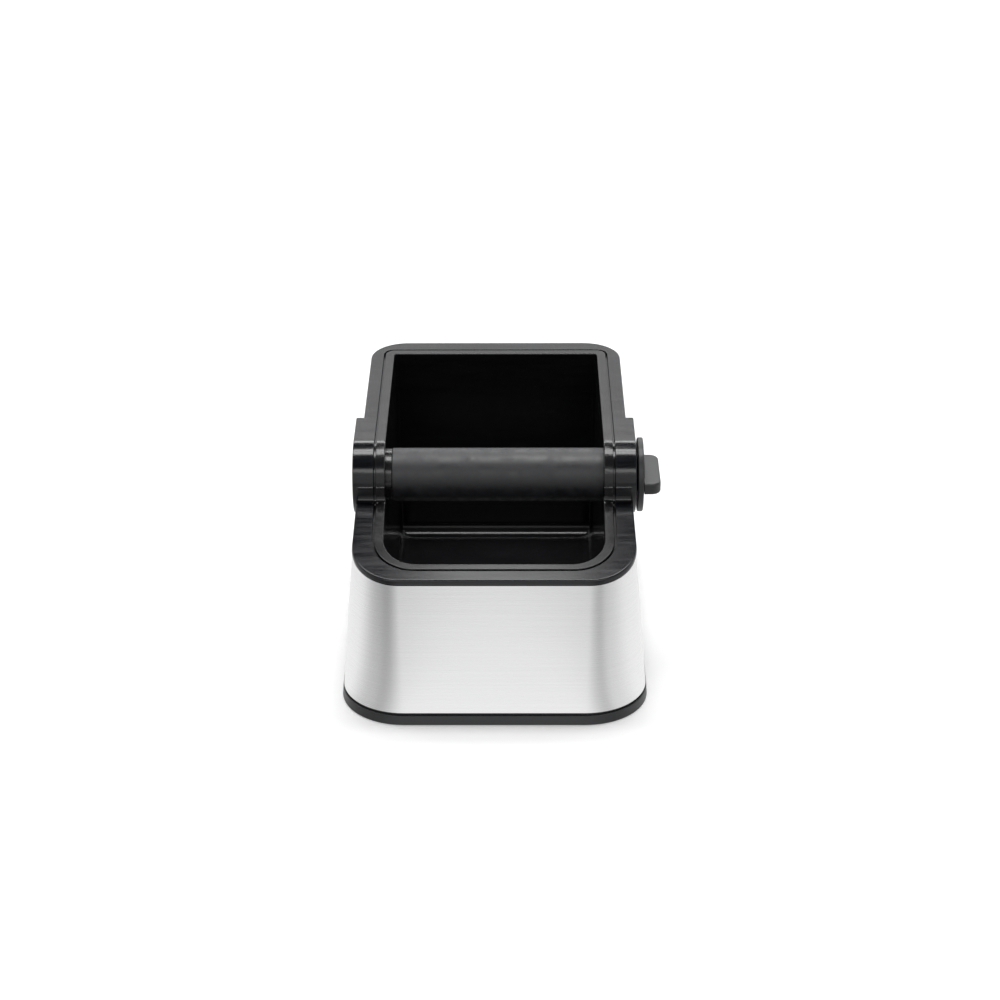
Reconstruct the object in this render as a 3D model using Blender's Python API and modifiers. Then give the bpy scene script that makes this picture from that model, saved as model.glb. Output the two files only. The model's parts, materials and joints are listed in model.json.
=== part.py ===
"""Knock box for spent coffee: steel shell, plastic rim frame, lift-out bin and pull-out knock bar."""
import math

import bmesh
import bpy
from mathutils import Vector

# Sizes of the whole body, in metres. The box is centred on the origin, with its front towards -Y.
base_width = 0.1408
base_length = 0.1923
base_corner_radius = 0.0295
side_lean = 0.0847
corner_lean = 0.1075
rear_rim_height = 0.1093
front_rim_height = 0.0719
corner_steps = 7
round_steps = 36
small_round_steps = 16
ring_section_steps = 8

# Where the knock bar lies, and the hump and ears that the rim makes round it.
bar_from_front = 0.0650
hump_foot_drop = 0.0054
lip_angle = math.radians(84)
lip_radius = 0.00055
lip_setback = 0.0016
foot_fillet = 0.0029
ear_wall = 0.0024
ear_stand_out = 0.0021
ear_flat_length = 0.0068
hump_steps = 12
fillet_steps = 5

# Fits.
fit_gap = 0.0003
slide_gap = 0.00045
rim_groove = 0.0006
overrun = 0.020

# Steel shell and base.
shell_thickness = 0.0008
shell_setback = 0.0003
rim_band = 0.0024
mat_thickness = 0.0017
mat_edge_setback = 0.0040
foot_lift = 0.0008
base_band_height = 0.0060
tray_floor = 0.0042
tray_wall_thickness = 0.0020
tray_wall_height = 0.0120

# Screws that tie the base to the rim frame.
post_radius = 0.0042
post_joint_drop = 0.0219
front_post_side_inset = 0.0121
front_post_end_inset = 0.0342
rear_post_side_inset = 0.0324
rear_post_end_inset = 0.0149
screw_radius = 0.0015
screw_head_radius = 0.0030
screw_head_height = 0.0026
screw_head_seat = 0.0080
screw_tip = 0.0010
insert_radius = 0.0028
insert_length = 0.0060

# Rim frame.
skirt_thickness = 0.0022
skirt_depth = 0.0100
side_frame_width = 0.0065
front_frame_width = 0.0064
rear_frame_width = 0.0089
seat_corner_ease = 0.0036
seat_rear_radius = 0.0050
seat_wall = 0.0022
ledge_thickness = 0.0020

# Lift-out bin.
bin_rim_width = 0.0045
bin_front_rim_width = 0.0032
bin_rim_thickness = 0.0026
bin_wall = 0.0022
bin_draft = 0.012
bin_bottom_radius = 0.0060
bin_front_mouth_radius = 0.0150
bin_rear_mouth_radius = 0.0018
pad_radius = 0.0070
pad_height = 0.0038
pad_side_inset = 0.0181
pad_end_inset = 0.0200

# Knock bar sleeve.
sleeve_radius = 0.0123
rubber_thickness = 0.0033
collar_step = 0.0001
left_collar_length = 0.0051
left_collar_lap = 0.0022
right_collar_lap = 0.0042
o_ring_section = 0.00085
o_ring_set_in = 0.0044
bin_wall_clearance = 0.0003

# Rod, lock pin and clip.
rod_radius = 0.0050
rod_end_gap = 0.0007
rod_chamfer = 0.0008
pin_radius = 0.0015
pin_reach = 0.0030
clip_thickness = 0.0008
clip_radius = 0.0075
clip_depth = 0.0006

# Bushes in the two ears.
bush_wall = 0.00205
bush_plate = 0.0010
pin_room = 0.0038
pocket_floor = 0.00275
bush_screw_radius = 0.0011
bush_screw_head = 0.0022
bush_screw_head_height = 0.0010
bush_screw_inset = 0.0032
bush_screw_bite = 0.0014

# Knob and its thumb grip.
disc_inset = 0.0004
disc_thickness = 0.0026
disc_standoff = 0.00085
disc_edge = 0.0008
hub_radius = 0.0075
hub_length = 0.0048
hub_web = 0.0026
grip_foot_radius = 0.0100
grip_foot_thickness = 0.0009
grip_reach = 0.0075
grip_end_inset = 0.0014
grip_thickness = 0.0055
grip_corner = 0.0042
grip_edge = 0.0007
grip_corner_steps = 6
knob_screw_radius = 0.0018
knob_screw_length = 0.0120
knob_screw_head = 0.0038
knob_screw_head_height = 0.0014

# The bar and what goes round it, each worked out from the piece inside it.
core_radius = sleeve_radius - rubber_thickness
collar_radius = sleeve_radius - collar_step
bore_radius = sleeve_radius + slide_gap
bush_radius = bore_radius + bush_wall
pocket_radius = bush_radius + fit_gap
hump_radius = pocket_radius + ear_wall
pin_half_length = rod_radius + pin_reach
bush_screw_offset = bush_radius - bush_screw_inset
disc_radius = hump_radius - disc_inset
grip_length = 2 * (disc_radius - grip_end_inset)

# The bar's axis, and the slope of the rim from the front up to the foot of the hump.
front_face_y = base_length / 2 - side_lean * front_rim_height
rear_face_y = base_length / 2 - side_lean * rear_rim_height
bar_axis_y = bar_from_front - front_face_y
bar_axis_height = rear_rim_height - hump_radius
hump_wall_y = bar_axis_y - hump_radius + lip_setback
rim_slope = (bar_axis_height - hump_foot_drop - front_rim_height) / (hump_wall_y + front_face_y)
slope_stretch = math.hypot(1, rim_slope)
bar_axis = Vector((0, bar_axis_y, bar_axis_height))

# The bin's seat in the frame, and the bin's mouth.
seat_half_width = base_width / 2 - side_lean * rear_rim_height - side_frame_width
seat_front = front_face_y - front_frame_width
seat_rear = rear_face_y - rear_frame_width
front_corner_radius = base_corner_radius - corner_lean * front_rim_height
seat_front_radius = front_corner_radius - front_frame_width + seat_corner_ease
mouth_half_width = seat_half_width - bin_rim_width
mouth_front = seat_front - bin_front_rim_width
mouth_rear = seat_rear - bin_rim_width
bin_underside = tray_floor + pad_height
seat_depth = bin_rim_thickness + fit_gap
ledge_depth = seat_depth + ledge_thickness

# Faces that line up across the box.
top_clear = rear_rim_height + overrun
post_joint_height = front_rim_height - post_joint_drop
screw_length = post_joint_height + insert_length + screw_tip - screw_head_seat
ear_start = seat_half_width + rim_groove / 2
ear_face = base_width / 2 - side_lean * bar_axis_height + ear_stand_out
pocket_end = ear_face - pocket_floor
disc_inner = ear_face + disc_standoff
disc_outer = disc_inner + disc_thickness

for old in list(bpy.data.objects):
    bpy.data.objects.remove(old, do_unlink=True)

parts = bpy.data.collections.new("knock_box")
cutters = bpy.data.collections.new("knock_box_cutters")
bpy.context.scene.collection.children.link(parts)
bpy.context.scene.collection.children.link(cutters)


def material(name, colour, roughness, metallic=0.0):
    made = bpy.data.materials.new(name)
    made.use_nodes = True
    shader = made.node_tree.nodes["Principled BSDF"]
    shader.inputs["Base Color"].default_value = (*colour, 1)
    shader.inputs["Roughness"].default_value = roughness
    shader.inputs["Metallic"].default_value = metallic
    return made


def place(mesh, name, skin=None):
    """Link a mesh as a named part, or as a hidden cutter when it has no material."""
    obj = bpy.data.objects.new(name, mesh)
    if skin:
        mesh.materials.append(skin)
        parts.objects.link(obj)
    else:
        cutters.objects.link(obj)
        obj.hide_render = True
        obj.display_type = "WIRE"
    return obj


def from_bmesh(bm, name, skin=None):
    mesh = bpy.data.meshes.new(name)
    bmesh.ops.recalc_face_normals(bm, faces=bm.faces)
    bm.to_mesh(mesh)
    bm.free()
    return place(mesh, name, skin)


def boolean(obj, other, operation):
    step = obj.modifiers.new(operation.lower(), "BOOLEAN")
    step.operation = operation
    step.object = other
    step.solver = "EXACT"
    return obj


def cut(obj, *others):
    for other in others:
        boolean(obj, other, "DIFFERENCE")
    return obj


def join(obj, *others):
    for other in others:
        boolean(obj, other, "UNION")
    return obj


def rounded_ring(half_width, front, rear, front_radius, rear_radius, height):
    """A rounded rectangle as points, from the front right corner round to the front left one."""
    corners = (
        (half_width - front_radius, -front + front_radius, front_radius, -90),
        (half_width - rear_radius, rear - rear_radius, rear_radius, 0),
        (-half_width + rear_radius, rear - rear_radius, rear_radius, 90),
        (-half_width + front_radius, -front + front_radius, front_radius, 180),
    )
    ring = []
    for x, y, radius, start in corners:
        for step in range(corner_steps + 1):
            angle = math.radians(start + 90 * step / corner_steps)
            ring.append(Vector((x + radius * math.cos(angle), y + radius * math.sin(angle), height)))
    return ring


def loft(rings, name, skin=None):
    """Close a stack of matching rings into one solid."""
    bm = bmesh.new()
    loops = []
    for ring in rings:
        verts = [bm.verts.new(point) for point in ring]
        loops.append([bm.edges.new((verts[i - 1], verts[i])) for i in range(len(verts))])
    for lower, upper in zip(loops, loops[1:]):
        bmesh.ops.bridge_loops(bm, edges=lower + upper)
    bmesh.ops.contextual_create(bm, geom=loops[0])
    bmesh.ops.contextual_create(bm, geom=loops[-1])
    return from_bmesh(bm, name, skin)


def body_ring(height, inset=0.0):
    half_width = base_width / 2 - side_lean * height - inset
    half_length = base_length / 2 - side_lean * height - inset
    radius = base_corner_radius - corner_lean * height - inset
    return rounded_ring(half_width, half_length, half_length, radius, radius, height)


def body_solid(name, low, high, inset=0.0, skin=None):
    return loft([body_ring(low, inset), body_ring(high, inset)], name, skin)


def seat_solid(name, grow, low, high, skin=None):
    """An upright solid that follows the seam between the frame and the bin's rim."""
    sides = [seat_half_width + grow, seat_front + grow, seat_rear + grow]
    radii = [seat_front_radius + grow, max(seat_rear_radius + grow, lip_radius)]
    return loft([rounded_ring(*sides, *radii, height) for height in (low, high)], name, skin)


def arc(centre, radius, start, end, steps):
    """Points (y, z) on an arc. Angles are taken from straight up, positive towards the front."""
    points = []
    for step in range(steps + 1):
        angle = start + (end - start) * step / steps
        points.append((centre[0] - radius * math.sin(angle), centre[1] + radius * math.cos(angle)))
    return points


def rim_curve(drop=0.0):
    """The rim's side profile from rear to front, lowered everywhere by the same distance."""
    points = [(base_length / 2 + overrun, rear_rim_height - drop)]
    points += arc((bar_axis_y, bar_axis_height), hump_radius - drop, 0, lip_angle, hump_steps)
    lip_centre = arc((bar_axis_y, bar_axis_height), hump_radius, lip_angle, lip_angle, 1)[0]
    if drop <= 0:
        points.pop()
        points += arc(lip_centre, lip_radius, 0, math.pi, fillet_steps)
        points.append((hump_wall_y, lip_centre[1] - lip_radius))
    else:
        points.append((hump_wall_y + drop, lip_centre[1] - lip_radius))
    fillet_y = hump_wall_y - foot_fillet
    slope_there = front_rim_height + rim_slope * (fillet_y + front_face_y)
    centre = (fillet_y, slope_there + foot_fillet * slope_stretch)
    lean = math.atan(rim_slope)
    turned = arc(centre, foot_fillet + drop, -math.pi / 2, -math.pi + lean, fillet_steps)
    points += turned
    front_end = -base_length / 2 - overrun
    front_end_height = front_rim_height + rim_slope * (front_end + front_face_y)
    points.append((front_end, front_end_height - drop * slope_stretch))
    return points


def side_prism(outline, name, low_x, high_x, skin=None):
    """Sweep an outline of (y, z) points along X."""
    bm = bmesh.new()
    verts = [bm.verts.new((low_x, y, z)) for y, z in outline]
    edges = [bm.edges.new((verts[i - 1], verts[i])) for i in range(len(verts))]
    bmesh.ops.contextual_create(bm, geom=edges)
    swept = bmesh.ops.extrude_face_region(bm, geom=bm.faces[:])
    moved = [item for item in swept["geom"] if isinstance(item, bmesh.types.BMVert)]
    bmesh.ops.translate(bm, verts=moved, vec=(high_x - low_x, 0, 0))
    return from_bmesh(bm, name, skin)


def band_prism(name, upper, lower):
    """The space between the rim profile lowered by two distances."""
    outline = rim_curve(upper) + rim_curve(lower)[::-1]
    return side_prism(outline, name, -base_width, base_width)


def above_rim_prism(name, drop):
    outline = rim_curve(drop)
    outline += [(outline[-1][0], top_clear + overrun), (outline[0][0], top_clear + overrun)]
    return side_prism(outline, name, -base_width, base_width)


def ear_outline(grow=0.0):
    """Side view of an ear: the hump's circle, carried back as a flat-topped boss."""
    radius = hump_radius + grow
    rear_y = bar_axis_y + ear_flat_length
    points = arc((bar_axis_y, bar_axis_height), radius, 0, math.pi, 2 * hump_steps)
    points += arc((rear_y, bar_axis_height), radius, -math.pi, -math.pi / 2, hump_steps)
    points.append((rear_y + radius, bar_axis_height + radius))
    return points


def stand_along(obj, along, at):
    """Turn a shape made along Z to lie along another axis, and move it to its place."""
    obj.location = at
    if along == "X":
        obj.rotation_euler.y = math.radians(90)
    if along == "Y":
        obj.rotation_euler.x = math.radians(-90)
    return obj


def turned(profile, name, skin=None, along="X", at=bar_axis, steps=round_steps):
    """Turn (place along the axis, radius) points, listed from the far end to the near end outside."""
    mesh = bpy.data.meshes.new(name)
    bm = bmesh.new()
    closed = profile[0][1] > 0
    verts = [bm.verts.new((radius, 0, height)) for height, radius in profile]
    for first, second in zip(verts, verts[1:]):
        bm.edges.new((first, second))
    if closed:
        bm.edges.new((verts[-1], verts[0]))
    bm.to_mesh(mesh)
    bm.free()
    obj = place(mesh, name, skin)
    screw = obj.modifiers.new("turn", "SCREW")
    screw.steps = steps
    screw.render_steps = steps
    screw.use_merge_vertices = True
    screw.merge_threshold = 0.00001
    screw.use_smooth_shade = True
    return stand_along(obj, along, at)


def rod_shape(name, start, end, radius, along="X", at=bar_axis, skin=None, steps=small_round_steps):
    bm = bmesh.new()
    bmesh.ops.create_cone(
        bm, cap_ends=True, cap_tris=False, segments=steps, radius1=radius, radius2=radius, depth=end - start
    )
    bmesh.ops.translate(bm, verts=bm.verts, vec=(0, 0, (start + end) / 2))
    obj = from_bmesh(bm, name, skin)
    return stand_along(obj, along, at)


def tube_shape(name, start, end, outer, inner, skin=None, along="X", at=bar_axis, steps=round_steps):
    profile = [(end, inner), (end, outer), (start, outer), (start, inner)]
    return turned(profile, name, skin, along, at, steps)


steel = material("brushed_steel", (0.72, 0.72, 0.71), 0.32, 1.0)
bar_steel = material("turned_steel", (0.62, 0.62, 0.62), 0.25, 1.0)
brass = material("brass", (0.70, 0.52, 0.22), 0.35, 1.0)
frame_plastic = material("frame_plastic", (0.035, 0.036, 0.040), 0.38)
base_plastic = material("base_plastic", (0.028, 0.028, 0.030), 0.45)
bin_plastic = material("bin_plastic", (0.020, 0.020, 0.022), 0.40)
bush_plastic = material("bush_plastic", (0.16, 0.16, 0.17), 0.45)
knob_plastic = material("knob_plastic", (0.032, 0.033, 0.035), 0.42)
rubber = material("bar_rubber", (0.024, 0.026, 0.027), 0.75)
foot_rubber = material("foot_rubber", (0.030, 0.030, 0.030), 0.85)

# Where each post stands.
front_post_x = base_width / 2 - front_post_side_inset
front_post_y = front_post_end_inset - base_length / 2
rear_post_x = base_width / 2 - rear_post_side_inset
rear_post_y = base_length / 2 - rear_post_end_inset
post_places = {
    "front_right": (front_post_x, front_post_y),
    "front_left": (-front_post_x, front_post_y),
    "rear_right": (rear_post_x, rear_post_y),
    "rear_left": (-rear_post_x, rear_post_y),
}

# Base: a shallow tray with an upstanding wall inside the shell, four posts and a rubber mat below.
base_tray = body_solid("base_tray", foot_lift, base_band_height, 0.0, base_plastic)
wall_inset = shell_setback + shell_thickness + fit_gap
join(base_tray, body_solid("tray_wall", tray_floor, tray_wall_height, wall_inset))
tray_hollow_top = tray_wall_height + overrun
cut(base_tray, body_solid("tray_hollow", tray_floor, tray_hollow_top, wall_inset + tray_wall_thickness))
for spot, (x, y) in post_places.items():
    post = (x, y, 0)
    post_top = post_joint_height - fit_gap
    join(base_tray, rod_shape(f"tray_post_{spot}", foot_lift + fit_gap, post_top, post_radius, "Z", post))
    cut(base_tray, rod_shape(f"tray_bore_{spot}", 0, post_top + overrun, screw_radius + fit_gap, "Z", post))
    head_room = screw_head_radius + fit_gap
    cut(base_tray, rod_shape(f"tray_sink_{spot}", 0, screw_head_seat + fit_gap, head_room, "Z", post))
mat_top = mat_thickness + fit_gap
cut(base_tray, body_solid("mat_recess", 0, mat_top, mat_edge_setback))

non_slip_mat = body_solid("non_slip_mat", 0, mat_thickness, mat_edge_setback + fit_gap, foot_rubber)

for spot, (x, y) in post_places.items():
    profile = [
        (screw_head_seat + screw_length, 0.0),
        (screw_head_seat + screw_length, screw_radius),
        (screw_head_seat, screw_radius),
        (screw_head_seat, screw_head_radius),
        (screw_head_seat - screw_head_height, screw_head_radius),
        (screw_head_seat - screw_head_height, 0.0),
    ]
    turned(profile, f"base_screw_{spot}", bar_steel, "Z", (x, y, 0), small_round_steps)

for spot, (x, y) in post_places.items():
    top = post_joint_height + insert_length
    inner = screw_radius + fit_gap
    name = f"insert_{spot}"
    tube_shape(name, post_joint_height, top, insert_radius, inner, brass, "Z", (x, y, 0), small_round_steps)

# Steel shell: a leaning tube cut to the rim's side profile, with a notch for each ear.
shell_bottom = base_band_height + fit_gap
steel_shell = body_solid("steel_shell", shell_bottom, top_clear, shell_setback, steel)
shell_inner = shell_setback + shell_thickness
cut(steel_shell, body_solid("shell_inside", shell_bottom - overrun, top_clear + overrun, shell_inner))
cut(steel_shell, above_rim_prism("shell_top_cut", rim_band + fit_gap))
cut(steel_shell, side_prism(ear_outline(fit_gap), "shell_ear_notch", -base_width, base_width))

# Rim frame: a cap band, a skirt inside the shell, a ledge for the bin, two ears and four posts.
top_frame = body_solid("top_frame", post_joint_height, top_clear, 0.0, frame_plastic)
boolean(top_frame, band_prism("cap_band", 0.0, rim_band), "INTERSECT")
skirt = body_solid("frame_skirt", post_joint_height, top_clear, wall_inset)
boolean(skirt, band_prism("skirt_band", rim_band / 2, skirt_depth), "INTERSECT")
cut(skirt, body_solid("skirt_inside", 0, top_clear + overrun, wall_inset + skirt_thickness))
seat_ring = seat_solid("seat_ring", rim_groove / 2 + seat_wall, post_joint_height, top_clear)
boolean(seat_ring, band_prism("seat_band", rim_band / 2, ledge_depth), "INTERSECT")
join(top_frame, skirt, seat_ring)
for side, label in ((1, "right"), (-1, "left")):
    ends = sorted((side * ear_start, side * ear_face))
    join(top_frame, side_prism(ear_outline(), f"{label}_ear", *ends))
for spot, (x, y) in post_places.items():
    rim_here = rear_rim_height if y > 0 else front_rim_height + rim_slope * (y + front_face_y)
    insert_top = post_joint_height + insert_length + fit_gap
    screw_top = screw_head_seat + screw_length + fit_gap
    profile = [
        (rim_here - rim_band / 2, 0.0),
        (rim_here - rim_band / 2, post_radius),
        (post_joint_height, post_radius),
        (post_joint_height, insert_radius + fit_gap),
        (insert_top, insert_radius + fit_gap),
        (insert_top, screw_radius + fit_gap),
        (screw_top, screw_radius + fit_gap),
        (screw_top, 0.0),
    ]
    join(top_frame, turned(profile, f"frame_post_{spot}", None, "Z", (x, y, 0), small_round_steps))
seat_recess = seat_solid("seat_recess", rim_groove / 2, 0, top_clear + overrun)
boolean(seat_recess, above_rim_prism("seat_recess_top", seat_depth), "INTERSECT")
cut(top_frame, seat_recess)
around = bin_wall + fit_gap
opening_sides = [mouth_half_width + around, mouth_front + around, mouth_rear + around]
opening_radii = [bin_front_mouth_radius + around, bin_rear_mouth_radius + around]
opening_ends = (0, top_clear + overrun)
opening_rings = [rounded_ring(*opening_sides, *opening_radii, height) for height in opening_ends]
cut(top_frame, loft(opening_rings, "frame_opening"))
cut(top_frame, rod_shape("right_ear_bore", 0, ear_face + overrun, pocket_radius, steps=round_steps))
cut(top_frame, rod_shape("left_ear_pocket", -pocket_end, 0, pocket_radius, steps=round_steps))
for side in (1, -1):
    at = bar_axis + Vector((0, 0, side * bush_screw_offset))
    screw_end = pocket_end + bush_screw_bite + fit_gap
    cut(top_frame, rod_shape(f"ear_screw_bore_{side}", -screw_end, 0, bush_screw_radius + fit_gap, "X", at))

# Bin: a drafted tub whose rim follows the same profile, bored through for the bar.
bin_high = top_clear


def bin_ring(height, grow):
    drawn_in = bin_draft * max(rear_rim_height - height, 0) - grow
    floor_height = bin_underside - min(grow, 0) + (bin_wall if grow == 0 else 0)
    rise = min(max(height - floor_height, 0), bin_bottom_radius)
    turn = bin_bottom_radius - math.sqrt(max(rise * (2 * bin_bottom_radius - rise), 0))
    drawn_in += turn
    sides = [mouth_half_width - drawn_in, mouth_front - drawn_in, mouth_rear - drawn_in]
    front_radius = max(bin_front_mouth_radius + grow - turn / 2, bin_rear_mouth_radius)
    rear_radius = max(bin_rear_mouth_radius + grow, bin_rear_mouth_radius)
    return rounded_ring(*sides, front_radius, rear_radius, height)


def bin_solid(name, grow, floor_height, skin=None):
    turns = [math.pi / 2 * step / fillet_steps for step in range(fillet_steps + 1)]
    heights = [floor_height + bin_bottom_radius * (1 - math.cos(turn)) for turn in turns]
    heights += [bin_high]
    return loft([bin_ring(height, grow) for height in heights], name, skin)


inner_bin = bin_solid("inner_bin", bin_wall, bin_underside, bin_plastic)
bin_rim = seat_solid("bin_rim", -rim_groove / 2, post_joint_height, bin_high)
boolean(bin_rim, band_prism("bin_rim_band", 0.0, bin_rim_thickness), "INTERSECT")
cut(inner_bin, above_rim_prism("bin_top_cut", 0.0))
join(inner_bin, bin_rim)
cut(inner_bin, bin_solid("bin_cavity", 0.0, bin_underside + bin_wall))
cut(inner_bin, rod_shape("bin_bar_bore", -base_width, base_width, bore_radius, steps=round_steps))

pad_x = mouth_half_width - pad_side_inset
pad_low = tray_floor + fit_gap
pad_high = bin_underside - fit_gap
for label, x in (("right", pad_x), ("left", -pad_x)):
    for end, y in (("front", pad_end_inset - mouth_front), ("rear", mouth_rear - pad_end_inset)):
        rod_shape(f"bin_pad_{end}_{label}", pad_low, pad_high, pad_radius, "Z", (x, y, 0), foot_rubber)

# Bushes: a plain ring on the right, and on the left a cup whose slot takes the rod's lock pin.
bush_start = ear_start + fit_gap
right_bush = tube_shape("right_bush", bush_start, ear_face, bush_radius, bore_radius, bush_plastic)

room_start = bush_start + bush_plate
room_end = room_start + pin_room
room_radius = pin_half_length + 2 * fit_gap
bush_end = pocket_end - fit_gap
bush_profile = [
    (-bush_start, rod_radius + fit_gap),
    (-bush_start, bush_radius),
    (-bush_end, bush_radius),
    (-bush_end, rod_radius + fit_gap),
    (-room_end, rod_radius + fit_gap),
    (-room_end, room_radius),
    (-room_start, room_radius),
    (-room_start, rod_radius + fit_gap),
]
left_bush = turned(bush_profile, "left_bush", bush_plastic)
slot_bm = bmesh.new()
bmesh.ops.create_cube(slot_bm, size=1)
slot_depth = 2 * (bush_plate + fit_gap)
slot_size = Vector((slot_depth, 2 * (room_radius + fit_gap), 2 * (pin_radius + fit_gap)))
bmesh.ops.scale(slot_bm, verts=slot_bm.verts, vec=slot_size)
pin_slot = from_bmesh(slot_bm, "pin_slot")
pin_slot.location = bar_axis - Vector((bush_start + bush_plate / 2, 0, 0))
cut(left_bush, pin_slot)
for side, label in ((1, "upper"), (-1, "lower")):
    at = bar_axis + Vector((0, 0, side * bush_screw_offset))
    seat = -bush_start - bush_screw_head_height
    end = -pocket_end - bush_screw_bite
    cut(left_bush, rod_shape(f"bush_bore_{side}", -base_width, 0, bush_screw_radius + fit_gap, "X", at))
    head_radius = bush_screw_head + fit_gap
    cut(left_bush, rod_shape(f"bush_sink_{side}", seat - fit_gap, 0, head_radius, "X", at))
    profile = [
        (-bush_start, 0.0),
        (-bush_start, bush_screw_head),
        (seat, bush_screw_head),
        (seat, bush_screw_radius),
        (end, bush_screw_radius),
        (end, 0.0),
    ]
    turned(profile, f"bush_screw_{label}", bar_steel, "X", at, small_round_steps)

# Knock bar: a rubber sleeve on a core tube between two collars.
sleeve_left = -mouth_half_width - left_collar_lap + bin_wall_clearance
collar_inner_end = sleeve_left + left_collar_length
rubber_start = collar_inner_end + fit_gap
rubber_end = mouth_half_width - bin_wall_clearance
right_collar_start = rubber_end + fit_gap
right_collar_end = ear_face
core_start = collar_inner_end - left_collar_lap + fit_gap
core_end = right_collar_start + right_collar_lap - fit_gap
core_fit = core_radius + fit_gap
rod_fit = rod_radius + fit_gap
rubber_sleeve = tube_shape("rubber_sleeve", rubber_start, rubber_end, sleeve_radius, core_fit, rubber)
sleeve_core = tube_shape("sleeve_core", core_start, core_end, core_radius, rod_fit, bar_steel)
left_profile = [
    (collar_inner_end, core_fit),
    (collar_inner_end, collar_radius),
    (sleeve_left, collar_radius),
    (sleeve_left, rod_fit),
    (core_start - fit_gap, rod_fit),
    (core_start - fit_gap, core_fit),
]
left_collar = turned(left_profile, "left_collar", knob_plastic)
groove_middle = right_collar_end - o_ring_set_in
groove_half = o_ring_section + fit_gap
ring_centre = bore_radius - fit_gap - o_ring_section
groove_floor = ring_centre - o_ring_section - fit_gap
hub_room = hub_radius + fit_gap
hub_end = disc_inner - hub_length - fit_gap
right_profile = [
    (right_collar_end, hub_room),
    (right_collar_end, collar_radius),
    (groove_middle + groove_half, collar_radius),
    (groove_middle + groove_half, groove_floor),
    (groove_middle - groove_half, groove_floor),
    (groove_middle - groove_half, collar_radius),
    (right_collar_start, collar_radius),
    (right_collar_start, core_fit),
    (core_end + fit_gap, core_fit),
    (core_end + fit_gap, rod_fit),
    (hub_end, rod_fit),
    (hub_end, hub_room),
]
right_collar = turned(right_profile, "right_collar", knob_plastic)
ring_profile = []
for step in range(ring_section_steps):
    angle = 2 * math.pi * step / ring_section_steps
    along = groove_middle + o_ring_section * math.cos(angle)
    ring_profile.append((along, ring_centre + o_ring_section * math.sin(angle)))
collar_o_ring = turned(ring_profile, "collar_o_ring", rubber)

# Rod with its lock pin, clip and knob. These turn inside the sleeve.
web_start = disc_inner - hub_web
rod_right_end = web_start - fit_gap
rod_left_end = bush_end - rod_end_gap
clip_start = sleeve_left - fit_gap - clip_thickness
rod_profile = [
    (rod_right_end, 0.0),
    (rod_right_end, rod_radius),
    (clip_start + clip_thickness + fit_gap, rod_radius),
    (clip_start + clip_thickness + fit_gap, rod_radius - clip_depth - fit_gap),
    (clip_start - fit_gap, rod_radius - clip_depth - fit_gap),
    (clip_start - fit_gap, rod_radius),
    (rod_chamfer - rod_left_end, rod_radius),
    (-rod_left_end, rod_radius - rod_chamfer),
    (-rod_left_end, 0.0),
]
steel_rod = turned(rod_profile, "steel_rod", bar_steel)
pin_at = bar_axis - Vector(((room_start + room_end) / 2, 0, 0))
cut(steel_rod, rod_shape("pin_hole", -pin_half_length, pin_half_length, pin_radius + fit_gap, "Y", pin_at))
thread_depth = rod_right_end - knob_screw_length
cut(steel_rod, rod_shape("knob_thread", thread_depth, disc_outer, knob_screw_radius + fit_gap))
lock_pin = rod_shape("lock_pin", -pin_half_length, pin_half_length, pin_radius, "Y", pin_at, bar_steel)
clip_end = clip_start + clip_thickness
rod_clip = tube_shape("rod_clip", clip_start, clip_end, clip_radius, rod_radius - clip_depth, bar_steel)

foot_floor = disc_outer - grip_foot_thickness - fit_gap
head_floor = foot_floor - fit_gap - knob_screw_head_height - fit_gap
disc_profile = [
    (foot_floor, 0.0),
    (foot_floor, grip_foot_radius + fit_gap),
    (disc_outer, grip_foot_radius + fit_gap),
    (disc_outer, disc_radius - disc_edge),
    (disc_outer - disc_edge / 3, disc_radius - disc_edge / 3),
    (disc_outer - disc_edge, disc_radius),
    (disc_inner + disc_edge / 2, disc_radius),
    (disc_inner, disc_radius - disc_edge / 2),
    (disc_inner, hub_radius),
    (disc_inner - hub_length, hub_radius),
    (disc_inner - hub_length, rod_fit),
    (web_start, rod_fit),
    (web_start, 0.0),
]
knob_disc = turned(disc_profile, "knob_disc", knob_plastic)
cut(knob_disc, rod_shape("knob_screw_bore", 0, disc_outer, knob_screw_radius + fit_gap))
head_bore = knob_screw_head + fit_gap
cut(knob_disc, rod_shape("knob_screw_sink", head_floor, disc_outer, head_bore))
screw_profile = [
    (head_floor + fit_gap + knob_screw_head_height, 0.0),
    (head_floor + fit_gap + knob_screw_head_height, knob_screw_head),
    (head_floor + fit_gap, knob_screw_head),
    (head_floor + fit_gap, knob_screw_radius),
    (thread_depth + fit_gap, knob_screw_radius),
    (thread_depth + fit_gap, 0.0),
]
knob_screw = turned(screw_profile, "knob_screw", bar_steel, steps=small_round_steps)

# Thumb grip: a low bar across the disc, on a round foot let into the disc's face.
grip_bm = bmesh.new()
bmesh.ops.create_cube(grip_bm, size=1)
bmesh.ops.scale(grip_bm, verts=grip_bm.verts, vec=(grip_reach, grip_length, grip_thickness))


def round_edges(bm, edges, size, segments):
    bmesh.ops.bevel(bm, geom=edges, offset=size, affect="EDGES", segments=segments, profile=0.5, material=-1)


def stands_out(edge):
    return max(vert.co.x for vert in edge.verts) > grip_edge - grip_reach / 2


def runs_along_z(edge):
    return abs(edge.verts[0].co.z - edge.verts[1].co.z) > grip_thickness / 2


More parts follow.
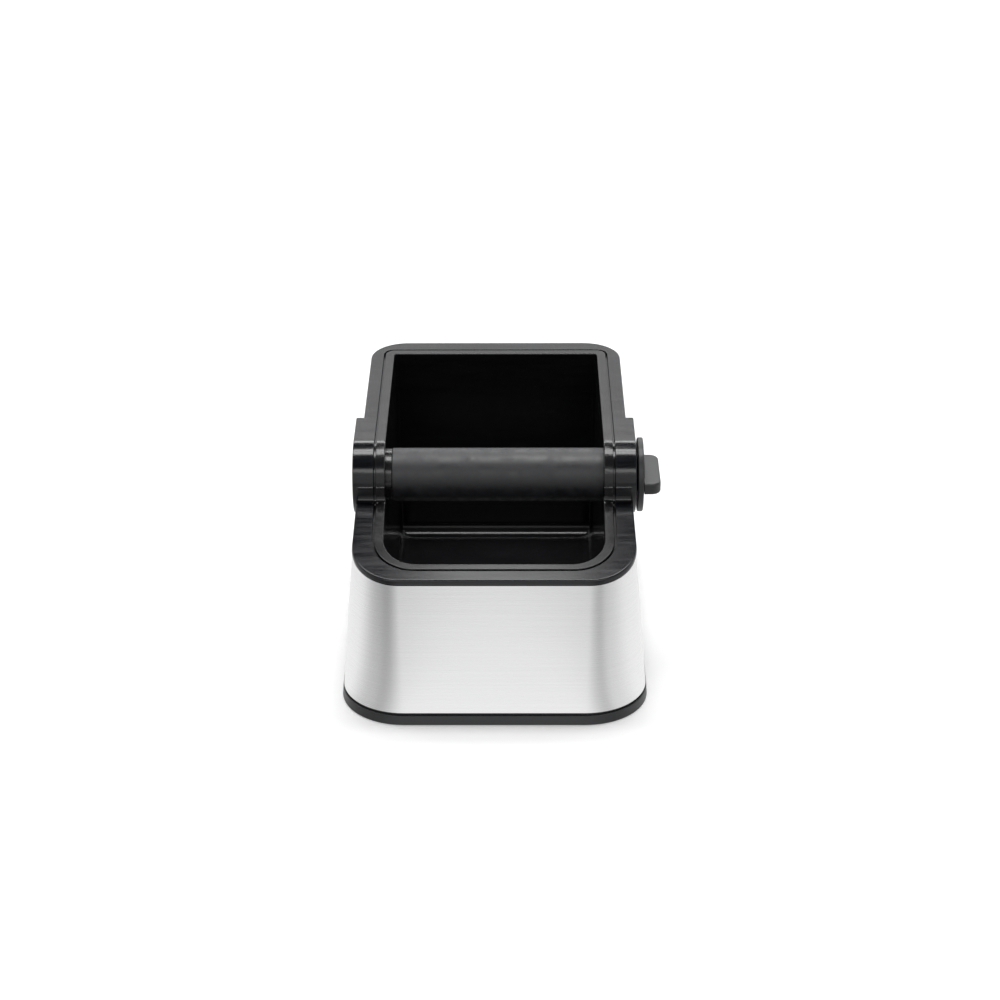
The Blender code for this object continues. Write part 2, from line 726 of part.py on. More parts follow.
corner_edges = [edge for edge in grip_bm.edges if runs_along_z(edge) and stands_out(edge)]
round_edges(grip_bm, corner_edges, grip_corner, grip_corner_steps)
sharp_edges = [edge for edge in grip_bm.edges if edge.calc_face_angle(0) > 1]
face_edges = [edge for edge in sharp_edges if not runs_along_z(edge) and stands_out(edge)]
round_edges(grip_bm, face_edges, grip_edge, 2)
bmesh.ops.translate(grip_bm, verts=grip_bm.verts, vec=(disc_outer + fit_gap + grip_reach / 2, 0, 0))
thumb_grip = from_bmesh(grip_bm, "thumb_grip", knob_plastic)
thumb_grip.location = bar_axis
foot_start = foot_floor + fit_gap
foot_end = disc_outer + 2 * fit_gap
join(thumb_grip, rod_shape("grip_foot", foot_start, foot_end, grip_foot_radius, steps=round_steps))

# The sleeve and the rod ride on empties that lie on the bar's axis.
sleeve_axis = bpy.data.objects.new("sleeve_axis", None)
rod_axis = bpy.data.objects.new("rod_axis", None)
for empty in (sleeve_axis, rod_axis):
    empty.location = bar_axis
    parts.objects.link(empty)
bpy.context.view_layer.update()
rod_axis.parent = sleeve_axis
rod_axis.matrix_parent_inverse = sleeve_axis.matrix_world.inverted()
for obj, holder in (
    (rubber_sleeve, sleeve_axis),
    (sleeve_core, sleeve_axis),
    (left_collar, sleeve_axis),
    (right_collar, sleeve_axis),
    (collar_o_ring, sleeve_axis),
    (steel_rod, rod_axis),
    (lock_pin, rod_axis),
    (rod_clip, rod_axis),
    (knob_disc, rod_axis),
    (thumb_grip, rod_axis),
    (knob_screw, rod_axis),
):
    obj.parent = holder
    obj.matrix_parent_inverse = holder.matrix_world.inverted()
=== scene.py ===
import json
import math
import bmesh
import bpy
from mathutils import Matrix, Vector


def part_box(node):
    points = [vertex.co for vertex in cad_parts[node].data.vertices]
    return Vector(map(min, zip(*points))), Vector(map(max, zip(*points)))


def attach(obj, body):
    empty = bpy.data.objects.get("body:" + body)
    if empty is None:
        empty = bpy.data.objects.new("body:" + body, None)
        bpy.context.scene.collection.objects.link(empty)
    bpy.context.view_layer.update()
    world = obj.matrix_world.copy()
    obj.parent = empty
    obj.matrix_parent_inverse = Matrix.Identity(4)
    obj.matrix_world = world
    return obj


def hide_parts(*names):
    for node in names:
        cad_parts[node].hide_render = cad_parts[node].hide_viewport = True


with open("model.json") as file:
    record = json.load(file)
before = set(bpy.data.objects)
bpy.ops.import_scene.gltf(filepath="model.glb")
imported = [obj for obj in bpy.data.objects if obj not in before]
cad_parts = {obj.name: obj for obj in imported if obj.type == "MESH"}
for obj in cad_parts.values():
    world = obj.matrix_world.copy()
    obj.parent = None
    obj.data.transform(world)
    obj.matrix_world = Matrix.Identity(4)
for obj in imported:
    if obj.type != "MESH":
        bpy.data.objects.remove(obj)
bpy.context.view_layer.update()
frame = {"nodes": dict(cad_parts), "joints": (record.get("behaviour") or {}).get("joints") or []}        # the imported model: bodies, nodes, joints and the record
scene = bpy.context.scene

# What the frame says about the box, read once
trayLow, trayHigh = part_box("base_tray")
matLow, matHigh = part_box("non_slip_mat")
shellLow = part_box("steel_shell")[0]
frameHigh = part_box("top_frame")[1]
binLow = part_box("inner_bin")[0]
sleeveLow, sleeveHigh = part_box("rubber_sleeve")
turnJoint = next(joint for joint in frame["joints"] if joint["name"] == "bar_turn")
barAxis = Vector(turnJoint["pos_m"])

gap = 0.0003                  # clearance between pieces
body = {
    "lean": 0.0847,           # how far the walls come in for each metre of height
    "cornerRadius": 0.0295,   # at the ground
    "cornerLean": 0.1075,     # what the radius loses for each metre of height
    "cornerSteps": 18,
    "frontRim": 0.0719,
    "rimSlope": 0.2957,
    "reach": 0.020,           # how far cutting blocks run past what they cut
    "overrun": 0.010,         # how far a bore runs past the end of its piece
}
halfWidth = trayHigh.x + body["lean"] * trayLow.z
halfLength = trayHigh.y + body["lean"] * trayLow.z
rearRim = frameHigh.z
cutTop = rearRim + body["reach"]
humpRadius = rearRim - barAxis.z
frontFace = halfLength - body["lean"] * body["frontRim"]

rim = {
    "turnStep": 4,            # degrees for each facet of the hump
    "lipTurns": 21,           # facets from the top of the hump to its lip
    "lipRadius": 0.00055,
    "lipSetback": 0.0016,
    "footFillet": 0.0029,
    "filletSteps": 7,
    "band": 0.0024,           # height of the black edge above the steel
    "edge": 0.0007,           # rounding of the outer top edge
    "edgeSteps": 4,
    "seatEdge": 0.00035,      # rounding beside the groove
    "seatSteps": 3,
    "humpSkin": 0.0155,       # nearest to the bar's axis that the hump's surface comes
}

seat = {
    "halfWidth": 0.0546,
    "front": 0.0837,
    "rear": 0.0780,
    "frontRadius": 0.0190,
    "rearRadius": 0.0050,
    "groove": 0.0009,
    "grooveDepth": 0.0018,
    "grooveFoot": 0.0001,     # what is left open below that depth
    "wall": 0.0022,
    "rimThickness": 0.0026,
    "ledge": 0.0020,
}

# Differences that count as none, in metres except for the last
same = {
    "point": 0.000002,
    "cleanedPoint": 0.000005,
    "cut": 0.000001,
    "earFace": 0.00001,
    "level": 0.00002,
    "wall": 0.0002,
    "cornerWall": 0.0003,
    "degrees": 1,
}
# Edges that turn by more than this are sharp, in degrees
sharpTurn = {"outer": 40, "seat": 35, "piece": 32, "shell": 25, "square": 57}


def toObject(bm, name):
    # merges doubled points and turns the faces outwards first
    bmesh.ops.remove_doubles(bm, verts=bm.verts, dist=same["point"])
    bmesh.ops.recalc_face_normals(bm, faces=bm.faces)
    mesh = bpy.data.meshes.new(name)
    bm.to_mesh(mesh)
    bm.free()
    made = bpy.data.objects.new(name, mesh)
    scene.collection.objects.link(made)
    return made


def combine(piece, other, operation):
    # applies one boolean and throws the other shape away
    step = piece.modifiers.new(operation, "BOOLEAN")
    step.operation = operation
    step.solver = "EXACT"
    step.object = other
    bpy.context.view_layer.update()
    shaped = piece.evaluated_get(bpy.context.evaluated_depsgraph_get())
    mesh = bpy.data.meshes.new_from_object(shaped)
    piece.modifiers.remove(step)
    piece.data = mesh
    bpy.data.objects.remove(other)
    return piece


def cut(piece, *others):
    for other in others:
        combine(piece, other, "DIFFERENCE")
    return piece


def join(piece, *others):
    for other in others:
        combine(piece, other, "UNION")
    return piece


def splitAcross(piece, y):
    # adds a line of edges right across a piece, where a rounding can end
    bm = bmesh.new()
    bm.from_mesh(piece.data)
    everything = bm.verts[:] + bm.edges[:] + bm.faces[:]
    bmesh.ops.bisect_plane(bm, geom=everything, dist=same["cut"], plane_co=(0, y, 0), plane_no=(0, 1, 0))
    bm.to_mesh(piece.data)
    bm.free()


def bevel(bm, geom, width, steps, affect="EDGES"):
    bmesh.ops.bevel(bm, geom=geom, offset=width, offset_type="OFFSET", affect=affect,
                    segments=steps, profile=0.5, material=-1)


def roundEdges(piece, width, steps, pick, top=cutTop):
    # rounds the edges that pick() chooses, and clears away what the cuts and the rounding left loose
    bm = bmesh.new()
    bm.from_mesh(piece.data)
    bmesh.ops.remove_doubles(bm, verts=bm.verts, dist=same["cleanedPoint"])
    bmesh.ops.dissolve_degenerate(bm, edges=bm.edges, dist=same["cleanedPoint"])
    chosen = [edge for edge in bm.edges if len(edge.link_faces) == 2 and pick(edge)]
    bevel(bm, chosen, width, steps)
    for vert in bm.verts:
        vert.co.z = min(vert.co.z, top)      # a rounding never rises past the rim
    stray = [face for face in bm.faces if all(edge.is_boundary for edge in face.edges)]
    bmesh.ops.delete(bm, geom=stray, context="FACES")
    bmesh.ops.delete(bm, geom=[edge for edge in bm.edges if edge.is_wire], context="EDGES")
    bm.to_mesh(piece.data)
    bm.free()
    return len(chosen)


def finishPiece(piece, bodyName, look, nodes=(), sharp=sharpTurn["piece"]):
    piece.data.materials.clear()
    piece.data.materials.append(look)
    piece.data.shade_smooth()
    piece.data.set_sharp_from_angle(angle=math.radians(sharp))
    weighted = piece.modifiers.new("evenShading", "WEIGHTED_NORMAL")
    weighted.keep_sharp = True
    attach(piece, bodyName)
    if nodes:
        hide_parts(*nodes)
    return piece


def roundedLoop(bm, halfX, front, rear, z, frontRadius, rearRadius):
    # a level rounded rectangle: four points whose corners are bevelled. Returns its face and edges
    before = set(bm.edges)
    corners = [bm.verts.new((x, y, z)) for x, y in
               ((halfX, -front), (halfX, rear), (-halfX, rear), (-halfX, -front))]
    bm.faces.new(corners)
    for pair, radius in (((corners[0], corners[3]), frontRadius), ((corners[1], corners[2]), rearRadius)):
        bevel(bm, list(pair), radius, body["cornerSteps"], "VERTICES")
    edges = [edge for edge in bm.edges if edge not in before]
    return edges[0].link_faces[0], edges


def loft(bm, loops):
    # joins a stack of loops, keeping the first and last faces as its ends
    middle = [face for face, edges in loops[1:-1]]
    if middle:
        bmesh.ops.delete(bm, geom=middle, context="FACES_ONLY")
    for (_, lower), (_, upper) in zip(loops, loops[1:]):
        bmesh.ops.bridge_loops(bm, edges=lower + upper)
    return bm


def bodyLoop(bm, z, inset):
    radius = body["cornerRadius"] - body["cornerLean"] * z - inset
    drawnIn = body["lean"] * z + inset
    halfX, halfY = halfWidth - drawnIn, halfLength - drawnIn
    return roundedLoop(bm, halfX, halfY, halfY, z, radius, radius)


def bodyBlock(name, low, high, inset=0.0):
    bm = bmesh.new()
    loft(bm, [bodyLoop(bm, low, inset), bodyLoop(bm, high, inset)])
    return toObject(bm, name)


def seatBlock(name, grow, low, high):
    bm = bmesh.new()
    rearRadius = max(seat["rearRadius"] + grow, rim["lipRadius"])
    sides = (seat["halfWidth"] + grow, seat["front"] + grow, seat["rear"] + grow)
    loft(bm, [roundedLoop(bm, *sides, z, seat["frontRadius"] + grow, rearRadius) for z in (low, high)])
    return toObject(bm, name)


def fromSeat(x, y):
    # how far a point lies outside the seat's outline, seen from above
    radius = seat["frontRadius"] if y < 0 else seat["rearRadius"]
    across = abs(x) - seat["halfWidth"] + radius
    along = abs(y) - (seat["front"] if y < 0 else seat["rear"]) + radius
    if min(across, along) > 0:
        return math.hypot(across, along) - radius
    return max(across, along) - radius


class Pen:
    # draws a side view on X = 0 by moving one point
    def __init__(self, bm, y, z):
        self.bm = bm
        self.first = bm.verts.new((0, y, z))
        self.tip = self.first

    def lineTo(self, y, z):
        made = bmesh.ops.extrude_vert_indiv(self.bm, verts=[self.tip])
        self.tip = made["verts"][0]
        self.tip.co = (0, y, z)

    def turnAbout(self, centre, angle, steps):
        made = bmesh.ops.spin(self.bm, geom=[self.tip], cent=(0, centre[0], centre[1]), axis=(1, 0, 0),
                              angle=angle, steps=steps, use_merge=False)
        self.tip = next(item for item in made["geom_last"] if isinstance(item, bmesh.types.BMVert))

    def close(self):
        self.bm.edges.new((self.tip, self.first))


def sweepAcross(bm, name, lowX, highX):
    # fills the drawn outline and carries it along X
    bmesh.ops.translate(bm, verts=bm.verts, vec=(lowX, 0, 0))
    made = bmesh.ops.contextual_create(bm, geom=bm.edges[:])
    carried = bmesh.ops.extrude_face_region(bm, geom=made["faces"])
    moved = [item for item in carried["geom"] if isinstance(item, bmesh.types.BMVert)]
    bmesh.ops.translate(bm, verts=moved, vec=(highX - lowX, 0, 0))
    return toObject(bm, name)


slopeStretch = math.hypot(1, body["rimSlope"])
slopeAngle = math.atan(body["rimSlope"])
barPlace = (barAxis.y, barAxis.z)
lipAngle = math.radians(rim["turnStep"] * rim["lipTurns"])
lipCentre = (barAxis.y - humpRadius * math.sin(lipAngle), barAxis.z + humpRadius * math.cos(lipAngle))
wallY = barAxis.y - humpRadius + rim["lipSetback"]
filletY = wallY - rim["footFillet"]


def slopeHeight(y):
    return body["frontRim"] + body["rimSlope"] * (y + frontFace)


filletCentre = (filletY, slopeHeight(filletY) + rim["footFillet"] * slopeStretch)


def drawRim(bm, drop):
    # the rim's side view from rear to front, lowered everywhere by the same distance
    rearEnd = halfLength + body["reach"]
    pen = Pen(bm, rearEnd, rearRim - drop)
    pen.lineTo(barAxis.y, rearRim - drop)
    if drop <= 0:
        shortened = 2 * math.asin(rim["lipRadius"] / (2 * humpRadius))
        pen.turnAbout(barPlace, lipAngle - shortened, rim["lipTurns"])
        away = Vector(pen.tip.co.yz) - Vector(lipCentre)
        toBottom = math.pi - math.atan2(-away.x, away.y)
        pen.turnAbout(lipCentre, toBottom, rim["filletSteps"])
        pen.lineTo(wallY, lipCentre[1] - rim["lipRadius"])
    else:
        pen.turnAbout(barPlace, lipAngle, rim["lipTurns"])
        pen.lineTo(wallY + drop, lipCentre[1] - rim["lipRadius"])
    pen.lineTo(wallY + drop, filletCentre[1])
    pen.turnAbout(filletCentre, slopeAngle - math.pi / 2, rim["filletSteps"])
    frontEnd = -halfLength - body["reach"]
    pen.lineTo(frontEnd, slopeHeight(frontEnd) - drop * slopeStretch)
    return pen


def rimBlock(name, drop, above):
    # everything above or below the rim's side view
    bm = bmesh.new()
    pen = drawRim(bm, drop)
    farHeight = cutTop + body["reach"] if above else -body["reach"]
    pen.lineTo(pen.tip.co.y, farHeight)
    pen.lineTo(pen.first.co.y, farHeight)
    pen.close()
    return sweepAcross(bm, name, -2 * halfWidth, 2 * halfWidth)


# Parts of a face's normal: most of X on the rim, least of Z where it looks up, most of Z on a wall
facing = {"straight": 0.001, "up": 0.3, "wall": 0.2}


def onRim(face):
    # whether a face belongs to the surface that follows the rim's side view
    if abs(face.normal.x) > facing["straight"]:
        return False
    away = face.calc_center_median() - barAxis
    onHump = -humpRadius - rim["footFillet"] < away.y < 0 and math.hypot(away.y, away.z) > rim["humpSkin"]
    return face.normal.z > facing["up"] or onHump


def rimMeetsWall(low, high):
    # chooses edges between the rim's surface and an upright wall, so far outside the seat's outline
    def pick(edge):
        top, wall = sorted(edge.link_faces, key=onRim, reverse=True)
        if onRim(wall) or not onRim(top) or abs(wall.normal.z) > facing["wall"]:
            return False
        middle = (edge.verts[0].co + edge.verts[1].co) / 2
        sharp = edge.is_convex and edge.calc_face_angle(0) > math.radians(sharpTurn["seat"])
        return sharp and low < fromSeat(middle.x, middle.y) < high
    return pick


def underRim(name, piece, upper, lower):
    # leaves only the band of a piece that lies between two distances below the rim
    cut(piece, rimBlock(name + "Above", upper, True), rimBlock(name + "Below", lower, False))
    return piece


# Facets in one turn
turns = {"large": 128, "middle": 96, "small": 64, "hole": 32, "section": 16}


def spinShape(name, profile, axis="X", centre=None, steps=turns["middle"], edge=0, edgeSteps=4):
    # turns an outline of (place along the axis, radius) once round the axis, with rounded corners
    if edge:
        profile = roundCorners(profile, edge, edgeSteps)
    centre = barAxis if centre is None else Vector(centre)
    bm = bmesh.new()
    along = Vector((1, 0, 0)) if axis == "X" else Vector((0, 0, 1))
    out = Vector((0, 0, 1)) if axis == "X" else Vector((1, 0, 0))
    flat = Vector((0, centre.y, centre.z)) if axis == "X" else Vector((centre.x, centre.y, 0))
    points = [bm.verts.new(flat + along * place + out * radius) for place, radius in profile]
    edges = [bm.edges.new(pair) for pair in zip(points, points[1:])]
    if profile[0][1] > 0:
        edges.append(bm.edges.new((points[-1], points[0])))
    bmesh.ops.spin(bm, geom=points + edges, cent=flat, axis=along, angle=math.tau, steps=steps,
                   use_merge=True)
    return toObject(bm, name)


def barOutline(start, end, outer, inner=0):
    # the outline of a plain disc, bar or tube
    return [(start, inner), (start, outer), (end, outer), (end, inner)]


def roundCorners(profile, radius, steps):
    # rounds every inner corner of an outline of (place, radius) points
    mostOfSide = 0.45
    rounded = [profile[0]]
    for before, corner, after in zip(profile, profile[1:], profile[2:]):
        corner = Vector(corner)
        first = Vector(before) - corner
        second = Vector(after) - corner
        size = min(radius, first.length * mostOfSide, second.length * mostOfSide)
        start = corner + first.normalized() * size
        end = corner + second.normalized() * size
        for step in range(steps + 1):
            done = step / steps
            left = 1 - done
            rounded.append(tuple(start * left ** 2 + corner * 2 * done * left + end * done ** 2))
    rounded.append(profile[-1])
    return rounded


print("shapes and tools ready")


# Materials
# How many noise features lie in a metre, in each direction
grain = {
    "steelLines": (22, 22, 9000),
    "steelShades": (6, 6, 1500),
    "wipes": (40, 60, 420),
    "frameWipes": (45, 500, 500),
    "plastic": (1400, 1400, 1400),
    "rubberClouds": (220, 110, 110),
    "rubberPores": (1600, 1600, 1600),
    "marksAcrossX": (2600, 60, 60),
    "marksAcrossZ": (60, 60, 2600),
}


def newLook(name, colour, roughness, metallic=0.0):
    look = bpy.data.materials.new(name)
    look.use_nodes = True
    shader = look.node_tree.nodes["Principled BSDF"]
    shader.inputs["Base Color"].default_value = (*colour, 1)
    shader.inputs["Roughness"].default_value = roughness
    shader.inputs["Metallic"].default_value = metallic
    return look, look.node_tree, shader


def addNode(tree, kind, values=None, links=None, **settings):
    node = tree.nodes.new("ShaderNode" + kind)
    for name, value in settings.items():
        setattr(node, name, value)
    for name, value in (values or {}).items():
        node.inputs[name].default_value = value
    for name, source in (links or {}).items():
        tree.links.new(source, node.inputs[name])
    return node


def give(tree, sockets, sources):
    # a number is set on its socket, and another node's output is linked to it
    for socket, source in zip(sockets, sources):
        if isinstance(source, float):
            socket.default_value = source
        else:
            tree.links.new(source, socket)


def calculate(tree, operation, *sources):
    node = addNode(tree, "Math", operation=operation)
    give(tree, node.inputs, sources)
    return node.outputs[0]


def mixLevels(tree, factor, usual, level):
    node = addNode(tree, "Mix", data_type="FLOAT")
    give(tree, [socket for socket in node.inputs if socket.type == "VALUE"], (factor, usual, level))
    return node.outputs[0]


def mixColours(tree, factor, dark, light):
    node = addNode(tree, "Mix", data_type="RGBA")
    colours = [socket for socket in node.inputs if socket.type == "RGBA"]
    colours[0].default_value = (*dark, 1)
    colours[1].default_value = (*light, 1)
    tree.links.new(factor, next(socket for socket in node.inputs if socket.type == "VALUE"))
    return next(socket for socket in node.outputs if socket.type == "RGBA")


def streaks(tree, scale, detail=3.0, roughness=0.6):
    # noise stretched by a scale for each direction, on the piece's own place in metres
    place = addNode(tree, "TexCoord")
    spread = addNode(tree, "Mapping", {"Scale": scale}, {"Vector": place.outputs["Object"]})
    noise = addNode(tree, "TexNoise", {"Scale": 1.0, "Detail": detail, "Roughness": roughness},
                    {"Vector": spread.outputs["Vector"]})
    return noise.outputs["Fac"]


def between(tree, source, low, high, fromLow=0.3, fromHigh=0.7, **settings):
    # turns one range of values, a noise's unless it says otherwise, into another
    return addNode(tree, "MapRange",
                   {"From Min": fromLow, "From Max": fromHigh, "To Min": low, "To Max": high},
                   {"Value": source}, **settings).outputs["Result"]


def vary(tree, shader, roughNoise, rough, shadeNoise, dark, light):
    # one noise drives the roughness and one the colour
    tree.links.new(between(tree, roughNoise, *rough), shader.inputs["Roughness"])
    shade = mixColours(tree, between(tree, shadeNoise, 0, 1), dark, light)
    tree.links.new(shade, shader.inputs["Base Color"])


def addBump(tree, shader, noise, strength, distance):
    bump = addNode(tree, "Bump", {"Strength": strength, "Distance": distance}, {"Height": noise})
    tree.links.new(bump.outputs["Normal"], shader.inputs["Normal"])


def brushedSteelLook(name, dark, light, rough):
    # brushed level all the way round, so the lines are long across and very fine upwards
    look, tree, shader = newLook(name, light, rough[0], metallic=1.0)
    fine = streaks(tree, grain["steelLines"], detail=2.0, roughness=0.5)
    broad = streaks(tree, grain["steelShades"])
    vary(tree, shader, fine, rough, broad, dark, light)
    addBump(tree, shader, fine, strength=0.30, distance=0.000015)
    return look


def satinBlackLook(name, dark, light, rough, wipes=grain["wipes"]):
    # moulded plastic: faint wipe marks, and a very fine grain
    look, tree, shader = newLook(name, dark, rough[0])
    marks = streaks(tree, wipes, detail=4.0, roughness=0.65)
    vary(tree, shader, marks, rough, marks, dark, light)
    addBump(tree, shader, streaks(tree, grain["plastic"], detail=2.0, roughness=0.5),
            strength=0.18, distance=0.00005)
    return look


def rubberLook(name, dark, light, rough):
    # soft blotches, and fine pores
    look, tree, shader = newLook(name, dark, rough[0])
    shader.inputs["Specular IOR Level"].default_value = 0.75
    clouds = streaks(tree, grain["rubberClouds"], detail=5.0, roughness=0.7)
    vary(tree, shader, clouds, rough, clouds, dark, light)
    addBump(tree, shader, streaks(tree, grain["rubberPores"]), strength=0.25, distance=0.00008)
    return look


def turnedMetalLook(name, dark, light, rough, toolMarks):
    # fine tool marks across the piece's own axis
    look, tree, shader = newLook(name, light, rough[0], metallic=1.0)
    marks = streaks(tree, toolMarks, detail=2.0, roughness=0.5)
    vary(tree, shader, marks, rough, marks, dark, light)
    addBump(tree, shader, marks, strength=0.2, distance=0.00002)
    return look


# Each finish: its darkest and lightest colour, and its least and most roughness
steelLook = brushedSteelLook("brushedSteel", (0.855, 0.858, 0.860), (0.885, 0.887, 0.885), (0.24, 0.32))
frameLook = satinBlackLook("framePlastic", (0.003, 0.0035, 0.005), (0.009, 0.0095, 0.012), (0.12, 0.22),
                           grain["frameWipes"])
baseLook = satinBlackLook("basePlastic", (0.022, 0.023, 0.025), (0.030, 0.031, 0.033), (0.40, 0.50))
binLook = satinBlackLook("binPlastic", (0.006, 0.006, 0.007), (0.009, 0.009, 0.010), (0.16, 0.22))
bushLook = satinBlackLook("bushPlastic", (0.020, 0.020, 0.021), (0.028, 0.028, 0.030), (0.38, 0.48))
knobLook = satinBlackLook("knobPlastic", (0.020, 0.021, 0.022), (0.030, 0.031, 0.033), (0.36, 0.46))
collarLook = satinBlackLook("collarPlastic", (0.010, 0.010, 0.011), (0.016, 0.016, 0.017), (0.16, 0.24))
sleeveLook = rubberLook("barRubber", (0.004, 0.0045, 0.006), (0.012, 0.013, 0.016), (0.38, 0.66))
footLook = rubberLook("footRubber", (0.022, 0.022, 0.022), (0.034, 0.034, 0.034), (0.70, 0.85))
rodLook = turnedMetalLook("turnedSteel", (0.56, 0.56, 0.57), (0.68, 0.68, 0.68), (0.18, 0.30),
                          grain["marksAcrossX"])
screwLook = turnedMetalLook("screwSteel", (0.54, 0.54, 0.55), (0.66, 0.66, 0.66), (0.24, 0.36),
                            grain["marksAcrossZ"])
brassLook = turnedMetalLook("turnedBrass", (0.62, 0.45, 0.18), (0.74, 0.56, 0.26), (0.26, 0.38),
                            grain["marksAcrossZ"])
print("materials ready")

# Base tray: the dark band under the steel, hollow above, with the mat let into its underside
base = {
    "floor": 0.0042,
    "wall": 0.0020,
    "wallTop": 0.0120,
    "edge": 0.0003,
    "lowerSteps": 4,
    "upperSteps": 3,
    "shellSetback": 0.0003,
    "shellThickness": 0.0008,
    "lowered": 0.0005,        # how far the band reaches below the frame's own tray
    "ledgeTop": shellLow.z - gap,
    "shadowLine": 0.0010,     # height of the dark line under the steel
    "shadowDepth": 0.0012,
}
wallInset = base["shellSetback"] + base["shellThickness"] + gap


def levelEdgesAt(z):
    # chooses the sharp edges at one height
    def pick(edge):
        sharp = edge.calc_face_angle(0) > math.radians(sharpTurn["outer"])
        return sharp and all(abs(vert.co.z - z) < same["level"] for vert in edge.verts)
    return pick


def baseTray():
    bottom, bandTop = trayLow.z - base["lowered"], base["ledgeTop"] - base["shadowLine"]
    band = bodyBlock("baseBand", bottom, bandTop)
    roundEdges(band, base["edge"], base["lowerSteps"], levelEdgesAt(bottom))
    roundEdges(band, base["edge"], base["upperSteps"], levelEdgesAt(bandTop))
    join(band, bodyBlock("trayLedge", base["floor"], base["ledgeTop"], base["shadowDepth"]))
    join(band, bodyBlock("trayWall", base["floor"] - gap, base["wallTop"], wallInset))
    cut(band, bodyBlock("trayHollow", base["floor"], cutTop, wallInset + base["wall"]))
    matRoom = mat["inset"] - gap
    cut(band, bodyBlock("matRoom", -body["reach"], matHigh.z + gap, matRoom))
    return band


mat = {
    "inset": halfWidth - matHigh.x - body["lean"] * matLow.z,
    "edge": 0.0004,
    "edgeSteps": 3,
}
posts = {
    "radius": 0.0042,
    "joint": 0.0500,
    "screwBore": 0.0018,
    "headBore": 0.0033,
    "headTop": 0.0083,
    "insertRadius": 0.0031,
    "places": [],
}
for spot in ("front_right", "front_left", "rear_right", "rear_left"):
    low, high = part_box(f"base_screw_{spot}")
    posts["places"].append(((low.x + high.x) / 2, (low.y + high.y) / 2))

tray = baseTray()
postFoot = matHigh.z + gap * 2
postTop = posts["joint"] - gap
boreOutline = [(-body["overrun"], 0), (-body["overrun"], posts["headBore"]),
               (posts["headTop"], posts["headBore"]), (posts["headTop"], posts["screwBore"]),
               (postTop + body["overrun"], posts["screwBore"]), (postTop + body["overrun"], 0)]
for x, y in posts["places"]:
    post = barOutline(postFoot, postTop, posts["radius"])
    join(tray, spinShape("trayPost", post, "Z", (x, y, 0), turns["hole"]))
    cut(tray, spinShape("trayBore", boreOutline, "Z", (x, y, 0), turns["hole"]))
finishPiece(tray, "housing", baseLook, ["base_tray"])
tray.name = "baseTray"
print("base tray ready")


def rubberMat():
    sheet = bodyBlock("rubberMat", matLow.z, matHigh.z, mat["inset"])
    roundEdges(sheet, mat["edge"], mat["edgeSteps"], levelEdgesAt(matLow.z))
    return sheet


finishPiece(rubberMat(), "housing", footLook, ["non_slip_mat"])
print("mat ready")

# Steel shell: a leaning tube, cut along the rim, with a notch for each ear
ear = {
    "face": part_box("right_bush")[1].x,
    "rearReach": 0.0243,
    "edge": 0.0005,
    "edgeSteps": 3,
    "start": seat["halfWidth"] + seat["groove"] / 2,
    "settle": 0.000008,       # how much lower its top lies than the band's
    "hold": 0.0006,           # how far the outer disc reaches into the body
    "ringSetback": 0.0018,    # how much smaller the ring inside is
}


def earBlock(name, grow, lowX, highX):
    # the hump's circle seen from the side, carried back as a flat-topped boss
    bm = bmesh.new()
    radius = humpRadius + grow
    rearY = barAxis.y + ear["rearReach"] - humpRadius
    steps = round(180 / rim["turnStep"])
    pen = Pen(bm, barAxis.y, barAxis.z + radius)
    pen.turnAbout(barPlace, math.pi, steps)
    pen.lineTo(rearY, barAxis.z - radius)
    pen.turnAbout((rearY, barAxis.z), math.pi / 2, steps // 2)
    pen.lineTo(rearY + radius, barAxis.z + radius)
    pen.close()
    return sweepAcross(bm, name, lowX, highX)


def steelShell():
    shell = bodyBlock("steelShell", shellLow.z, cutTop, base["shellSetback"])
    inside = base["shellSetback"] + base["shellThickness"]
    cut(shell, bodyBlock("shellInside", -body["reach"], cutTop + body["reach"], inside))
    cut(shell, rimBlock("shellTop", rim["band"] + gap, True))
    cut(shell, earBlock("earNotch", gap, -2 * halfWidth, 2 * halfWidth))
    return shell


finishPiece(steelShell(), "housing", steelLook, ["steel_shell"], sharpTurn["shell"])
print("steel shell ready")

# Rim frame: the band round the top, its skirt inside the shell, the bin's seat, two ears, four posts
skirt = {"thickness": 0.0022, "depth": 0.0100}
bush = {
    "radius": 0.0148,
    "pocketFloor": 0.00275,
    "plate": 0.0010,
    "room": 0.0038,
    "screwRadius": 0.0011,
    "screwOffset": 0.0116,
    "headRadius": 0.0022,
    "headHeight": 0.0010,
    "edge": 0.0003,
    "edgeSteps": 3,
}


def onOuterWall(face):
    middle = face.calc_center_median()
    drawnIn = body["lean"] * middle.z
    radius = body["cornerRadius"] - body["cornerLean"] * middle.z
    pastSide = abs(middle.x) - (halfWidth - drawnIn)
    pastEnd = abs(middle.y) - (halfLength - drawnIn)
    pastCorner = math.hypot(pastSide + radius, pastEnd + radius) - radius
    return min(abs(pastSide), abs(pastEnd)) < same["wall"] or abs(pastCorner) < same["cornerWall"]


def outerTopEdge(edge):
    # where the band's top meets its leaning outer wall, clear of the ears
    first, second = edge.link_faces
    if onOuterWall(first) == onOuterWall(second):
        return False
    reach = [vert.co.y - barAxis.y for vert in edge.verts]
    earFront = filletY - barAxis.y - rim["lipRadius"]
    overEar = max(reach) < ear["rearReach"] + gap and min(reach) > earFront
    return not overEar and edge.calc_face_angle(0) > math.radians(sharpTurn["outer"])


def onEarFace(edge):
    return all(abs(abs(vert.co.x) - ear["face"]) < same["earFace"] for vert in edge.verts)


